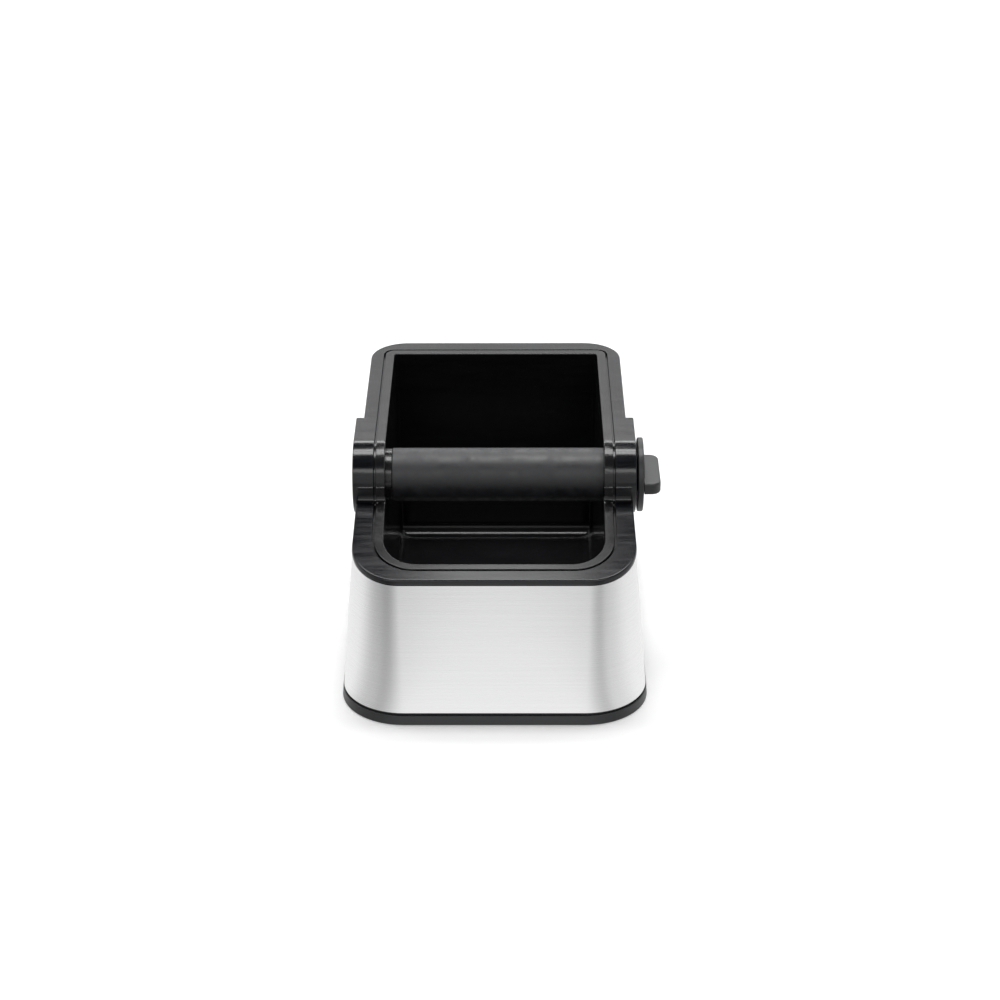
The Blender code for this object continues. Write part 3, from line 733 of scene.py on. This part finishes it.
def topFrame():
    low = posts["joint"]
    band = bodyBlock("topFrame", low, cutTop)
    underRim("band", band, 0.0, rim["band"])
    wall = bodyBlock("skirt", low, cutTop, wallInset)
    underRim("skirt", wall, rim["band"] / 2, skirt["depth"])
    cut(wall, bodyBlock("skirtInside", 0, cutTop + body["reach"], wallInset + skirt["thickness"]))
    ledge = seatBlock("ledge", seat["groove"] / 2 + seat["wall"], low, cutTop)
    underRim("ledge", ledge, rim["band"] / 2, seat["rimThickness"] + gap + seat["ledge"])
    join(band, wall, ledge)
    for side in (1, -1):
        boss = earBlock("ear", -ear["settle"], *sorted((side * ear["start"], side * ear["face"])))
        roundEdges(boss, ear["edge"], ear["edgeSteps"], onEarFace)
        cut(boss, bodyBlock("earInside", 0, cutTop, ear["hold"]))
        ringEnd = ear["face"] - ear["hold"]
        ring = earBlock("earRing", -ear["ringSetback"], *sorted((side * ear["start"], side * ringEnd)))
        join(band, ring, boss)
    return band


rimFrame = topFrame()
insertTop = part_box("insert_front_right")[1].z + gap
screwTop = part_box("base_screw_front_right")[1].z + gap
for x, y in posts["places"]:
    topHere = (rearRim if y > 0 else slopeHeight(y)) - rim["band"] / 2
    outline = [(screwTop, 0), (screwTop, posts["screwBore"]), (insertTop, posts["screwBore"]),
               (insertTop, posts["insertRadius"]), (posts["joint"], posts["insertRadius"]),
               (posts["joint"], posts["radius"]), (topHere, posts["radius"]), (topHere, 0)]
    join(rimFrame, spinShape("framePost", outline, "Z", (x, y, 0), turns["hole"]))
seatRoom = seatBlock("seatRoom", seat["groove"] / 2, 0, cutTop + body["reach"])
cut(seatRoom, rimBlock("seatRoomBelow", seat["rimThickness"] + gap, False))
cut(rimFrame, seatRoom)
print("frame seat ready")

# Inner bin: a drafted tub with a rounded bottom, under a rim that follows the frame's
tub = {
    "rimWidth": 0.0045,
    "frontRimWidth": 0.0032,
    "wall": 0.0022,
    "draft": 0.012,
    "underside": binLow.z,
    "bottomRadius": 0.0060,
    "frontRadius": 0.0150,
    "rearRadius": 0.0018,
    "bottomSteps": 8,
    "boreRadius": 0.01275,
    "boreReach": 0.09,        # how far out the cutters for the bar's bores go
    "mouthEdge": 0.0006,
    "mouthSteps": 4,
}


def mouthLoop(bm, z, grow, drawnIn=0.0):
    # the bin's mouth seen from above: its sides come in by drawnIn, and then all of it grows
    inwards = drawnIn - grow
    halfX = seat["halfWidth"] - tub["rimWidth"] - inwards
    front = seat["front"] - tub["frontRimWidth"] - inwards
    rear = seat["rear"] - tub["rimWidth"] - inwards
    return roundedLoop(bm, halfX, front, rear, z, tub["frontRadius"] + grow, tub["rearRadius"] + grow)


def tubBlock(name, grow, floor):
    bm = bmesh.new()
    loft(bm, [mouthLoop(bm, z, grow, tub["draft"] * max(rearRim - z, 0)) for z in (floor, cutTop)])
    block = toObject(bm, name)
    roundEdges(block, tub["bottomRadius"] + grow / 2, tub["bottomSteps"], levelEdgesAt(floor))
    return block


def frameOpening():
    bm = bmesh.new()
    around = tub["wall"] + gap
    loft(bm, [mouthLoop(bm, z, around) for z in (0, cutTop + body["reach"])])
    return toObject(bm, "frameOpening")


pocketEnd = ear["face"] - bush["pocketFloor"]
pocketRadius = bush["radius"] + gap
cut(rimFrame, frameOpening())
cut(rimFrame, spinShape("rightPocket", barOutline(0, tub["boreReach"], pocketRadius)))
cut(rimFrame, spinShape("leftPocket", barOutline(-pocketEnd, 0, pocketRadius)))
splitAcross(rimFrame, barAxis.y + ear["rearReach"])
print("rim edges rounded:", roundEdges(rimFrame, rim["edge"], rim["edgeSteps"], outerTopEdge, rearRim))
roundEdges(rimFrame, rim["seatEdge"], rim["seatSteps"], rimMeetsWall(0, seat["groove"]))
finishPiece(rimFrame, "housing", frameLook, ["top_frame"])
print("rim frame ready")


def innerBin():
    bucket = tubBlock("innerBin", tub["wall"], tub["underside"])
    cut(bucket, rimBlock("binTop", 0.0, True))
    flange = seatBlock("binRim", -seat["groove"] / 2, posts["joint"], cutTop)
    underRim("binRim", flange, 0.0, seat["rimThickness"])
    foot = seatBlock("binRimFoot", seat["groove"] / 2 - seat["grooveFoot"], posts["joint"], cutTop)
    underRim("binRimFoot", foot, seat["grooveDepth"], seat["rimThickness"])
    join(bucket, flange, foot)
    cut(bucket, tubBlock("binCavity", 0.0, tub["underside"] + tub["wall"]))
    cut(bucket, spinShape("binBore", barOutline(-tub["boreReach"], tub["boreReach"], tub["boreRadius"])))
    lipEnd = -seat["groove"]
    roundEdges(bucket, rim["seatEdge"], rim["seatSteps"], rimMeetsWall(lipEnd, 0))
    roundEdges(bucket, tub["mouthEdge"], tub["mouthSteps"], rimMeetsWall(-seat["halfWidth"], lipEnd))
    return bucket


finishPiece(innerBin(), "housing", binLook, ["inner_bin"])
print("bin ready")


# Knock bar: sleeve, collars, ring, rod and knob, most of them turned round the bar's axis
def ends(node):
    low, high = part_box(node)
    return low.x, high.x


bar = {
    "sleeveRadius": (sleeveHigh.z - sleeveLow.z) / 2,
    "coreRadius": 0.0093,
    "collarRadius": 0.0122,
    "rodRadius": 0.0050,
    "rodFit": 0.0053,
    "clipDepth": 0.0006,
    "closeFit": 0.00004,
    "edge": 0.0004,
    "pinSteps": 3,
    "clipEdge": 0.00015,
}
fineSteps = 2                 # for the smallest roundings

knob = {
    "radius": (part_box("knob_disc")[1].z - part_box("knob_disc")[0].z) / 2,
    "standoff": 0.00085,
    "edge": 0.0007,
    "edgeSteps": 5,
    "hubRadius": 0.0075,
    "web": 0.0026,
    "footRadius": 0.0100,
    "footDepth": 0.0009,
    "footOverlap": 0.0003,
    "footEdge": 0.0002,
    "screwRadius": 0.0018,
    "headRadius": 0.0038,
    "headHeight": 0.0014,
    "gripThickness": 0.0055,
    "gripCorner": 0.0042,
    "cornerSteps": 10,
    "gripEdge": 0.0009,
    "gripSteps": 4,
    "gripRoot": 0.45,         # share of the grip's length within which its root begins
}
crossways = Matrix.Rotation(math.pi / 2, 3, "X")


def square(edge):
    return edge.calc_face_angle(0) > math.radians(sharpTurn["square"])


def rubberSleeve():
    start, end = ends("left_collar")[1] + bar["closeFit"], ends("right_collar")[0] - bar["closeFit"]
    outline = barOutline(start, end, bar["sleeveRadius"], bar["coreRadius"])
    return spinShape("rubberSleeve", outline, steps=turns["large"], edge=bar["edge"])


def sleeveCore():
    outline = barOutline(*ends("sleeve_core"), bar["coreRadius"] - gap, bar["rodFit"])
    return spinShape("sleeveCore", outline, steps=turns["small"])


def leftCollar():
    # the rod's clip bears on its outer face, and the core tube sits in its inner one
    start, end = ends("left_collar")
    coreStart = ends("sleeve_core")[0] - gap
    outline = [(coreStart, bar["rodFit"]), (start, bar["rodFit"]), (start, bar["collarRadius"]),
               (end, bar["collarRadius"]), (end, bar["coreRadius"]), (coreStart, bar["coreRadius"])]
    return spinShape("leftCollar", outline, steps=turns["large"], edge=bar["edge"])


def rightCollar():
    # with a groove for the rubber ring and a room for the knob's hub
    start, end = ends("right_collar")
    ringLow, ringHigh = ends("collar_o_ring")
    grooveLow, grooveHigh = ringLow - gap, ringHigh + gap
    grooveFloor = (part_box("collar_o_ring")[1].z - barAxis.z) - (ringHigh - ringLow) - gap
    coreEnd = ends("sleeve_core")[1] + gap
    hubRoom = knob["hubRadius"] + gap
    hubEnd = ends("knob_disc")[0] - gap
    outline = [(hubEnd, bar["rodFit"]), (coreEnd, bar["rodFit"]), (coreEnd, bar["coreRadius"]),
               (start, bar["coreRadius"]), (start, bar["collarRadius"]), (grooveLow, bar["collarRadius"]),
               (grooveLow, grooveFloor), (grooveHigh, grooveFloor), (grooveHigh, bar["collarRadius"]),
               (end, bar["collarRadius"]), (end, hubRoom), (hubEnd, hubRoom)]
    return spinShape("rightCollar", outline, steps=turns["large"], edge=bar["edge"] / 2)


def collarRing():
    low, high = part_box("collar_o_ring")
    section = (high.x - low.x) / 2
    bm = bmesh.new()
    bmesh.ops.create_circle(bm, cap_ends=False, segments=turns["section"], radius=section)
    bmesh.ops.rotate(bm, verts=bm.verts, cent=(0, 0, 0), matrix=crossways)
    middle = Vector(((low.x + high.x) / 2, barAxis.y, high.z - section))
    bmesh.ops.translate(bm, verts=bm.verts, vec=middle)
    bmesh.ops.spin(bm, geom=bm.verts[:] + bm.edges[:], cent=barAxis, axis=(1, 0, 0), angle=math.tau,
                   steps=turns["middle"], use_merge=True)
    return toObject(bm, "collarRing")


def standingBar(name, x, radius, length, rounding):
    # a short round bar that crosses the rod from front to rear
    bm = bmesh.new()
    bmesh.ops.create_cone(bm, cap_ends=True, segments=turns["hole"], radius1=radius, radius2=radius,
                          depth=length)
    if rounding:
        bevel(bm, [edge for edge in bm.edges if square(edge)], rounding, bar["pinSteps"])
    bmesh.ops.rotate(bm, verts=bm.verts, cent=(0, 0, 0), matrix=crossways)
    bmesh.ops.translate(bm, verts=bm.verts, vec=(x, barAxis.y, barAxis.z))
    return toObject(bm, name)


def steelRod():
    start, end = ends("steel_rod")
    clipStart, clipEnd = ends("rod_clip")
    neck = bar["rodRadius"] - bar["clipDepth"] - gap
    outline = [(start, 0), (start, bar["rodRadius"]), (clipStart - gap, bar["rodRadius"]),
               (clipStart - gap, neck), (clipEnd + gap, neck), (clipEnd + gap, bar["rodRadius"]),
               (end, bar["rodRadius"]), (end, 0)]
    rod = spinShape("steelRod", outline, steps=turns["small"], edge=bar["edge"])
    pinLow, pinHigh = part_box("lock_pin")
    hole = (pinHigh.x - pinLow.x) / 2 + gap
    cut(rod, standingBar("pinHole", (pinLow.x + pinHigh.x) / 2, hole, pinHigh.y - pinLow.y, 0))
    screwStart = ends("knob_screw")[0] - gap
    bore = barOutline(screwStart, end + body["overrun"], knob["screwRadius"] + gap)
    cut(rod, spinShape("screwHole", bore, steps=turns["hole"]))
    return rod


def lockPin():
    low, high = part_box("lock_pin")
    return standingBar("lockPin", (low.x + high.x) / 2, (high.x - low.x) / 2, high.y - low.y, bar["edge"])


def rodClip():
    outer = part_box("rod_clip")[1].z - barAxis.z
    outline = barOutline(*ends("rod_clip"), outer, bar["rodRadius"] - bar["clipDepth"])
    return spinShape("rodClip", outline, steps=turns["small"], edge=bar["clipEdge"], edgeSteps=fineSteps)


def knobDisc():
    low, high = ends("knob_disc")
    inner = ear["face"] + knob["standoff"]
    footRoom = knob["footRadius"] + gap
    footFloor = high - knob["footDepth"] - gap
    headFloor = ends("knob_screw")[1] - knob["headHeight"] - gap
    bore = knob["screwRadius"] + gap
    headBore = knob["headRadius"] + gap
    web = inner - knob["web"]
    outline = [(web, bore), (web, bar["rodFit"]), (low, bar["rodFit"]), (low, knob["hubRadius"]),
               (inner, knob["hubRadius"]), (inner, knob["radius"]), (high, knob["radius"]),
               (high, footRoom), (footFloor, footRoom), (footFloor, headBore), (headFloor, headBore),
               (headFloor, bore)]
    return spinShape("knobDisc", outline, steps=turns["large"], edge=knob["edge"],
                     edgeSteps=knob["edgeSteps"])


def thumbGrip():
    # a low bar with rounded ends on a round foot
    low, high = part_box("thumb_grip")
    start = ends("knob_disc")[1] + gap
    size = Vector((high.x - start, high.y - low.y, knob["gripThickness"]))
    bm = bmesh.new()
    bmesh.ops.create_cube(bm, size=1)
    bmesh.ops.scale(bm, verts=bm.verts, vec=size)
    upright = [edge for edge in bm.edges if edge.verts[0].co.z * edge.verts[1].co.z < 0]
    outer = [edge for edge in upright if edge.verts[0].co.x > 0]
    bevel(bm, outer, knob["gripCorner"], knob["cornerSteps"])
    rootX = -size.x * knob["gripRoot"]
    clear = [edge for edge in bm.edges if square(edge) and max(vert.co.x for vert in edge.verts) > rootX]
    bevel(bm, clear, knob["gripEdge"], knob["gripSteps"])
    bmesh.ops.translate(bm, verts=bm.verts, vec=(start + size.x / 2, barAxis.y, barAxis.z))
    grip = toObject(bm, "thumbGrip")
    foot = barOutline(low.x, start + knob["footOverlap"], knob["footRadius"])
    return join(grip, spinShape("gripFoot", foot, edge=knob["footEdge"], edgeSteps=fineSteps))


def rightBush():
    outline = barOutline(*ends("right_bush"), bush["radius"], tub["boreRadius"])
    return spinShape("rightBush", outline, steps=turns["large"], edge=bush["edge"],
                     edgeSteps=bush["edgeSteps"])


def leftBush():
    # a cup with a slot in its face and a room behind it for the rod's pin
    start, end = ends("left_bush")
    pinLow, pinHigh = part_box("lock_pin")
    roomEnd, roomStart = -end + bush["plate"], -end + bush["plate"] + bush["room"]
    roomRadius = (pinHigh.y - pinLow.y) / 2 + 2 * gap
    outline = [(-roomEnd, bar["rodFit"]), (-roomEnd, roomRadius), (-roomStart, roomRadius),
               (-roomStart, bar["rodFit"]), (start, bar["rodFit"]), (start, bush["radius"]),
               (end, bush["radius"]), (end, bar["rodFit"])]
    cup = spinShape("leftBush", outline)
    slot = bmesh.new()
    bmesh.ops.create_cube(slot, size=1)
    width = (pinHigh.z - pinLow.z) + 2 * gap
    bmesh.ops.scale(slot, verts=slot.verts, vec=(2 * (bush["plate"] + gap), 2 * roomRadius, width))
    bmesh.ops.translate(slot, verts=slot.verts, vec=(end - bush["plate"] / 2, barAxis.y, barAxis.z))
    cut(cup, toObject(slot, "pinSlot"))
    holeStart = start - body["overrun"]
    seatX = end - bush["headHeight"] - gap
    shank = bush["screwRadius"] + gap
    head = bush["headRadius"] + gap
    hole = [(holeStart, 0), (holeStart, shank), (seatX, shank), (seatX, head), (0, head), (0, 0)]
    for side in (1, -1):
        centre = barAxis + Vector((0, 0, side * bush["screwOffset"]))
        cut(cup, spinShape("bushScrewHole", hole, "X", centre, turns["hole"]))
    return cup


def tidyCopy(node, name):
    # a small fixing as the frame has it, with its triangles joined up
    copied = bpy.data.objects.new(name, frame["nodes"][node].data.copy())
    scene.collection.objects.link(copied)
    bm = bmesh.new()
    bm.from_mesh(copied.data)
    bmesh.ops.remove_doubles(bm, verts=bm.verts, dist=same["point"])
    bmesh.ops.dissolve_limit(bm, angle_limit=math.radians(same["degrees"]), verts=bm.verts, edges=bm.edges)
    bm.to_mesh(copied.data)
    bm.free()
    return copied


barPieces = (
    (rubberSleeve, "bar_sleeve", sleeveLook, "bar_rubber", "rubber_sleeve"),
    (sleeveCore, "bar_sleeve", rodLook, "turned_steel", "sleeve_core"),
    (leftCollar, "bar_sleeve", collarLook, "knob_plastic", "left_collar"),
    (rightCollar, "bar_sleeve", collarLook, "knob_plastic", "right_collar"),
    (collarRing, "bar_sleeve", footLook, "bar_rubber", "collar_o_ring"),
    (steelRod, "bar_rod", rodLook, "turned_steel", "steel_rod"),
    (lockPin, "bar_rod", rodLook, "turned_steel", "lock_pin"),
    (rodClip, "bar_rod", rodLook, "turned_steel", "rod_clip"),
    (knobDisc, "bar_rod", knobLook, "knob_plastic", "knob_disc"),
    (thumbGrip, "bar_rod", knobLook, "knob_plastic", "thumb_grip"),
    (rightBush, "housing", bushLook, "bush_plastic", "right_bush"),
    (leftBush, "housing", bushLook, "bush_plastic", "left_bush"),
)
for make, bodyName, look, slotName, node in barPieces:
    finishPiece(make(), bodyName, look, [node])
print("knock bar and knob ready")

# Fixings that hardly show keep the frame's own shape
fixings = (
    ("base_screw", "housing", screwLook, "turned_steel"),
    ("bush_screw", "housing", screwLook, "turned_steel"),
    ("knob_screw", "bar_rod", screwLook, "turned_steel"),
    ("insert", "housing", brassLook, "brass"),
    ("bin_pad", "housing", footLook, "foot_rubber"),
)
for node in frame["nodes"]:
    for beginning, bodyName, look, slotName in fixings:
        if node.startswith(beginning):
            finishPiece(tidyCopy(node, node + "Smooth"), bodyName, look, [node])
print("fixings ready")

# Camera at the photograph's viewing angle
view = {
    "place": (0.00732, -1.03412, 0.59711),
    "right": (0.99999047, 0.00353075, -0.00256684),
    "up": (0.00066906, 0.45710464, 0.88941267),
    "ahead": (-0.00431361, 0.88940591, -0.45709793),
    "lens": 88.0247,
    "sensor": 36.0,
}
cameraData = bpy.data.cameras.new("camera")
cameraData.lens = view["lens"]
cameraData.sensor_width = view["sensor"]
camera = bpy.data.objects.new("camera", cameraData)
camera.matrix_world = Matrix.Translation(view["place"]) @ Matrix(
    (view["right"], view["up"], tuple(-a for a in view["ahead"]))).transposed().to_4x4()
scene.collection.objects.link(camera)
scene.camera = camera

# Floor, world and lamps
studio = {
    "floorSize": 4,           # metres from its middle to each side
    "floorColour": (0.80, 0.80, 0.80),
    # two levels, and how far out each holds: what the floor adds for the camera, how bright it is in
    # polished things, and the share of that which is left further away
    "floorGlow": (0.31, 0.88, 0.30, 1.5),
    "floorInMetal": (0.99, 0.87, 0.10, 0.34),
    "floorAway": (1.0, 0.40, 0.45, 1.0),
    "worldStrength": 0.18,
    # two levels of the sky in polished things, and how far up or back a ray heads there
    "ceiling": (1.0, 0.06, 0.45, 0.75),
    "frontShade": (0.70, 1.0, -0.2, 0.2),
    # each hangs over the middle line: degrees above the floor behind the box, and metres away
    "softboxes": (
        {"name": "rearSoftbox", "rise": 37, "away": 1.15, "size": (1.3, 0.18), "power": 4.0},
        {"name": "narrowSoftbox", "rise": 69, "away": 0.79, "size": (0.13, 0.16), "power": 0.28},
        {"name": "highSoftbox", "rise": 77, "away": 1.15, "size": (1.3, 0.16), "power": 6.2},
        {"name": "overheadSoftbox", "rise": 87, "away": 1.15, "size": (1.3, 0.16), "power": 6.6},
        {"name": "frontSoftbox", "rise": 143, "away": 1.15, "size": (1.3, 0.20), "power": 2.3},
    ),
    "aim": 0.08,              # height of the middle of the box, where the lamps point
    # painted reflections: grey patches off the front corners that only polished things see in the floor,
    # painting darker bands on the steel's corners: degrees away from the front, and tone
    "reflectedPatches": (
        {"place": (-0.048, -0.068), "tones": ((-12, 1.0), (26, 0.34), (44, 0.50), (95, 1.0))},
        {"place": (0.048, -0.068), "tones": ((-12, 1.0), (22, 0.46), (36, 0.72), (90, 1.0))},
    ),
    "patchNear": 0.75,        # how much of their depth is left close to the box
}


def paintedReflectionTone(tree, place, patch, nearness):
    # the tone that polished things see in the floor round one corner, by azimuth: a painted reflection,
    # not the floor's own colour
    side = math.copysign(1, patch["place"][0])
    fromCorner = addNode(tree, "VectorMath", None, {0: place}, operation="SUBTRACT")
    fromCorner.inputs[1].default_value = (*patch["place"], 0)
    parts = addNode(tree, "SeparateXYZ", None, {"Vector": fromCorner.outputs["Vector"]})
    outward = calculate(tree, "MULTIPLY", parts.outputs["X"], side)
    forward = calculate(tree, "MULTIPLY", parts.outputs["Y"], -1.0)
    azimuth = calculate(tree, "ARCTAN2", outward, forward)
    start, end = patch["tones"][0][0], patch["tones"][-1][0]
    along = between(tree, azimuth, 0.0, 1.0, math.radians(start), math.radians(end))
    ramp = addNode(tree, "ValToRGB", None, {"Fac": along})
    ramp.color_ramp.interpolation = "EASE"
    stops = ramp.color_ramp.elements
    for angle, tone in patch["tones"][1:-1]:
        stops.new((angle - start) / (end - start))
    for stop, (angle, tone) in zip(stops, patch["tones"]):
        stop.color = (tone, tone, tone, 1)
    depth = between(tree, nearness, 1.0, studio["patchNear"], 0.0, 1.0)
    return mixLevels(tree, depth, 1.0, ramp.outputs["Color"])


def floorLook():
    # a pale floor that takes the shadow; polished things see it close to white
    look = bpy.data.materials.new("paleFloor")
    look.use_nodes = True
    tree = look.node_tree
    tree.nodes.remove(tree.nodes["Principled BSDF"])
    rays = addNode(tree, "LightPath").outputs
    place = addNode(tree, "TexCoord").outputs["Object"]
    away = addNode(tree, "VectorMath", None, {0: place}, operation="LENGTH").outputs["Value"]
    plain = addNode(tree, "BsdfDiffuse", {"Color": (*studio["floorColour"], 1)})
    added = calculate(tree, "MULTIPLY", rays["Is Camera Ray"], between(tree, away, *studio["floorGlow"]))
    glow = addNode(tree, "Emission", {"Color": (1, 1, 1, 1)}, {"Strength": added})
    both = addNode(tree, "AddShader", None, {0: plain.outputs[0], 1: glow.outputs[0]})
    fade = between(tree, away, *studio["floorAway"])
    level = calculate(tree, "MULTIPLY", between(tree, away, *studio["floorInMetal"]), fade)
    nearness = between(tree, away, 1.0, 0.0, *studio["floorInMetal"][2:])
    # painted reflections: each grey patch darkens only what polished things see of the floor
    for patch in studio["reflectedPatches"]:
        level = calculate(tree, "MULTIPLY", level, paintedReflectionTone(tree, place, patch, nearness))
    mirrored = addNode(tree, "Emission", {"Color": (1, 1, 1, 1)}, {"Strength": level})
    seen = calculate(tree, "MAXIMUM", rays["Is Glossy Ray"], rays["Is Transmission Ray"])
    chosen = addNode(tree, "MixShader", None,
                     {0: seen, 1: both.outputs[0], 2: mirrored.outputs[0]})
    tree.links.new(chosen.outputs[0], tree.nodes["Material Output"].inputs["Surface"])
    return look


floorBm = bmesh.new()
bmesh.ops.create_grid(floorBm, x_segments=1, y_segments=1, size=studio["floorSize"])
floorMesh = bpy.data.meshes.new("floor")
floorBm.to_mesh(floorMesh)
floorBm.free()
floor = bpy.data.objects.new("floor", floorMesh)
scene.collection.objects.link(floor)
floor.data.materials.append(floorLook())

# The camera sees white, polished things a dark ceiling and a greyer front, and matt ones an even light
world = bpy.data.worlds.new("studio")
world.use_nodes = True
scene.world = world
sky = world.node_tree
plainSky = sky.nodes["Background"]
plainSky.inputs["Color"].default_value = (1, 1, 1, 1)
rays = addNode(sky, "LightPath").outputs
facingWay = addNode(sky, "TexCoord").outputs["Generated"]
heading = addNode(sky, "SeparateXYZ", None, {"Vector": facingWay}).outputs
ceiling = between(sky, heading["Z"], *studio["ceiling"], interpolation_type="SMOOTHSTEP")
frontShade = between(sky, heading["Y"], *studio["frontShade"], interpolation_type="SMOOTHSTEP")
shinySky = calculate(sky, "MULTIPLY", ceiling, frontShade)
level = mixLevels(sky, rays["Is Glossy Ray"], studio["worldStrength"], shinySky)
for ray in ("Is Transmission Ray", "Is Camera Ray"):
    level = mixLevels(sky, rays[ray], level, 1.0)
sky.links.new(level, plainSky.inputs["Strength"])

aim = Vector((0, 0, studio["aim"]))
for box in studio["softboxes"]:
    lampData = bpy.data.lights.new(box["name"], "AREA")
    lampData.shape = "RECTANGLE"
    lampData.size, lampData.size_y = box["size"]
    lampData.energy = box["power"]
    lamp = bpy.data.objects.new(box["name"], lampData)
    rise = math.radians(box["rise"])
    lamp.location = aim + box["away"] * Vector((0, math.cos(rise), math.sin(rise)))
    toBox = aim - lamp.location
    lamp.rotation_euler = toBox.to_track_quat("-Z", "Y").to_euler()
    lamp.visible_camera = False
    scene.collection.objects.link(lamp)

scene.view_settings.view_transform = "Standard"
print("studio ready")
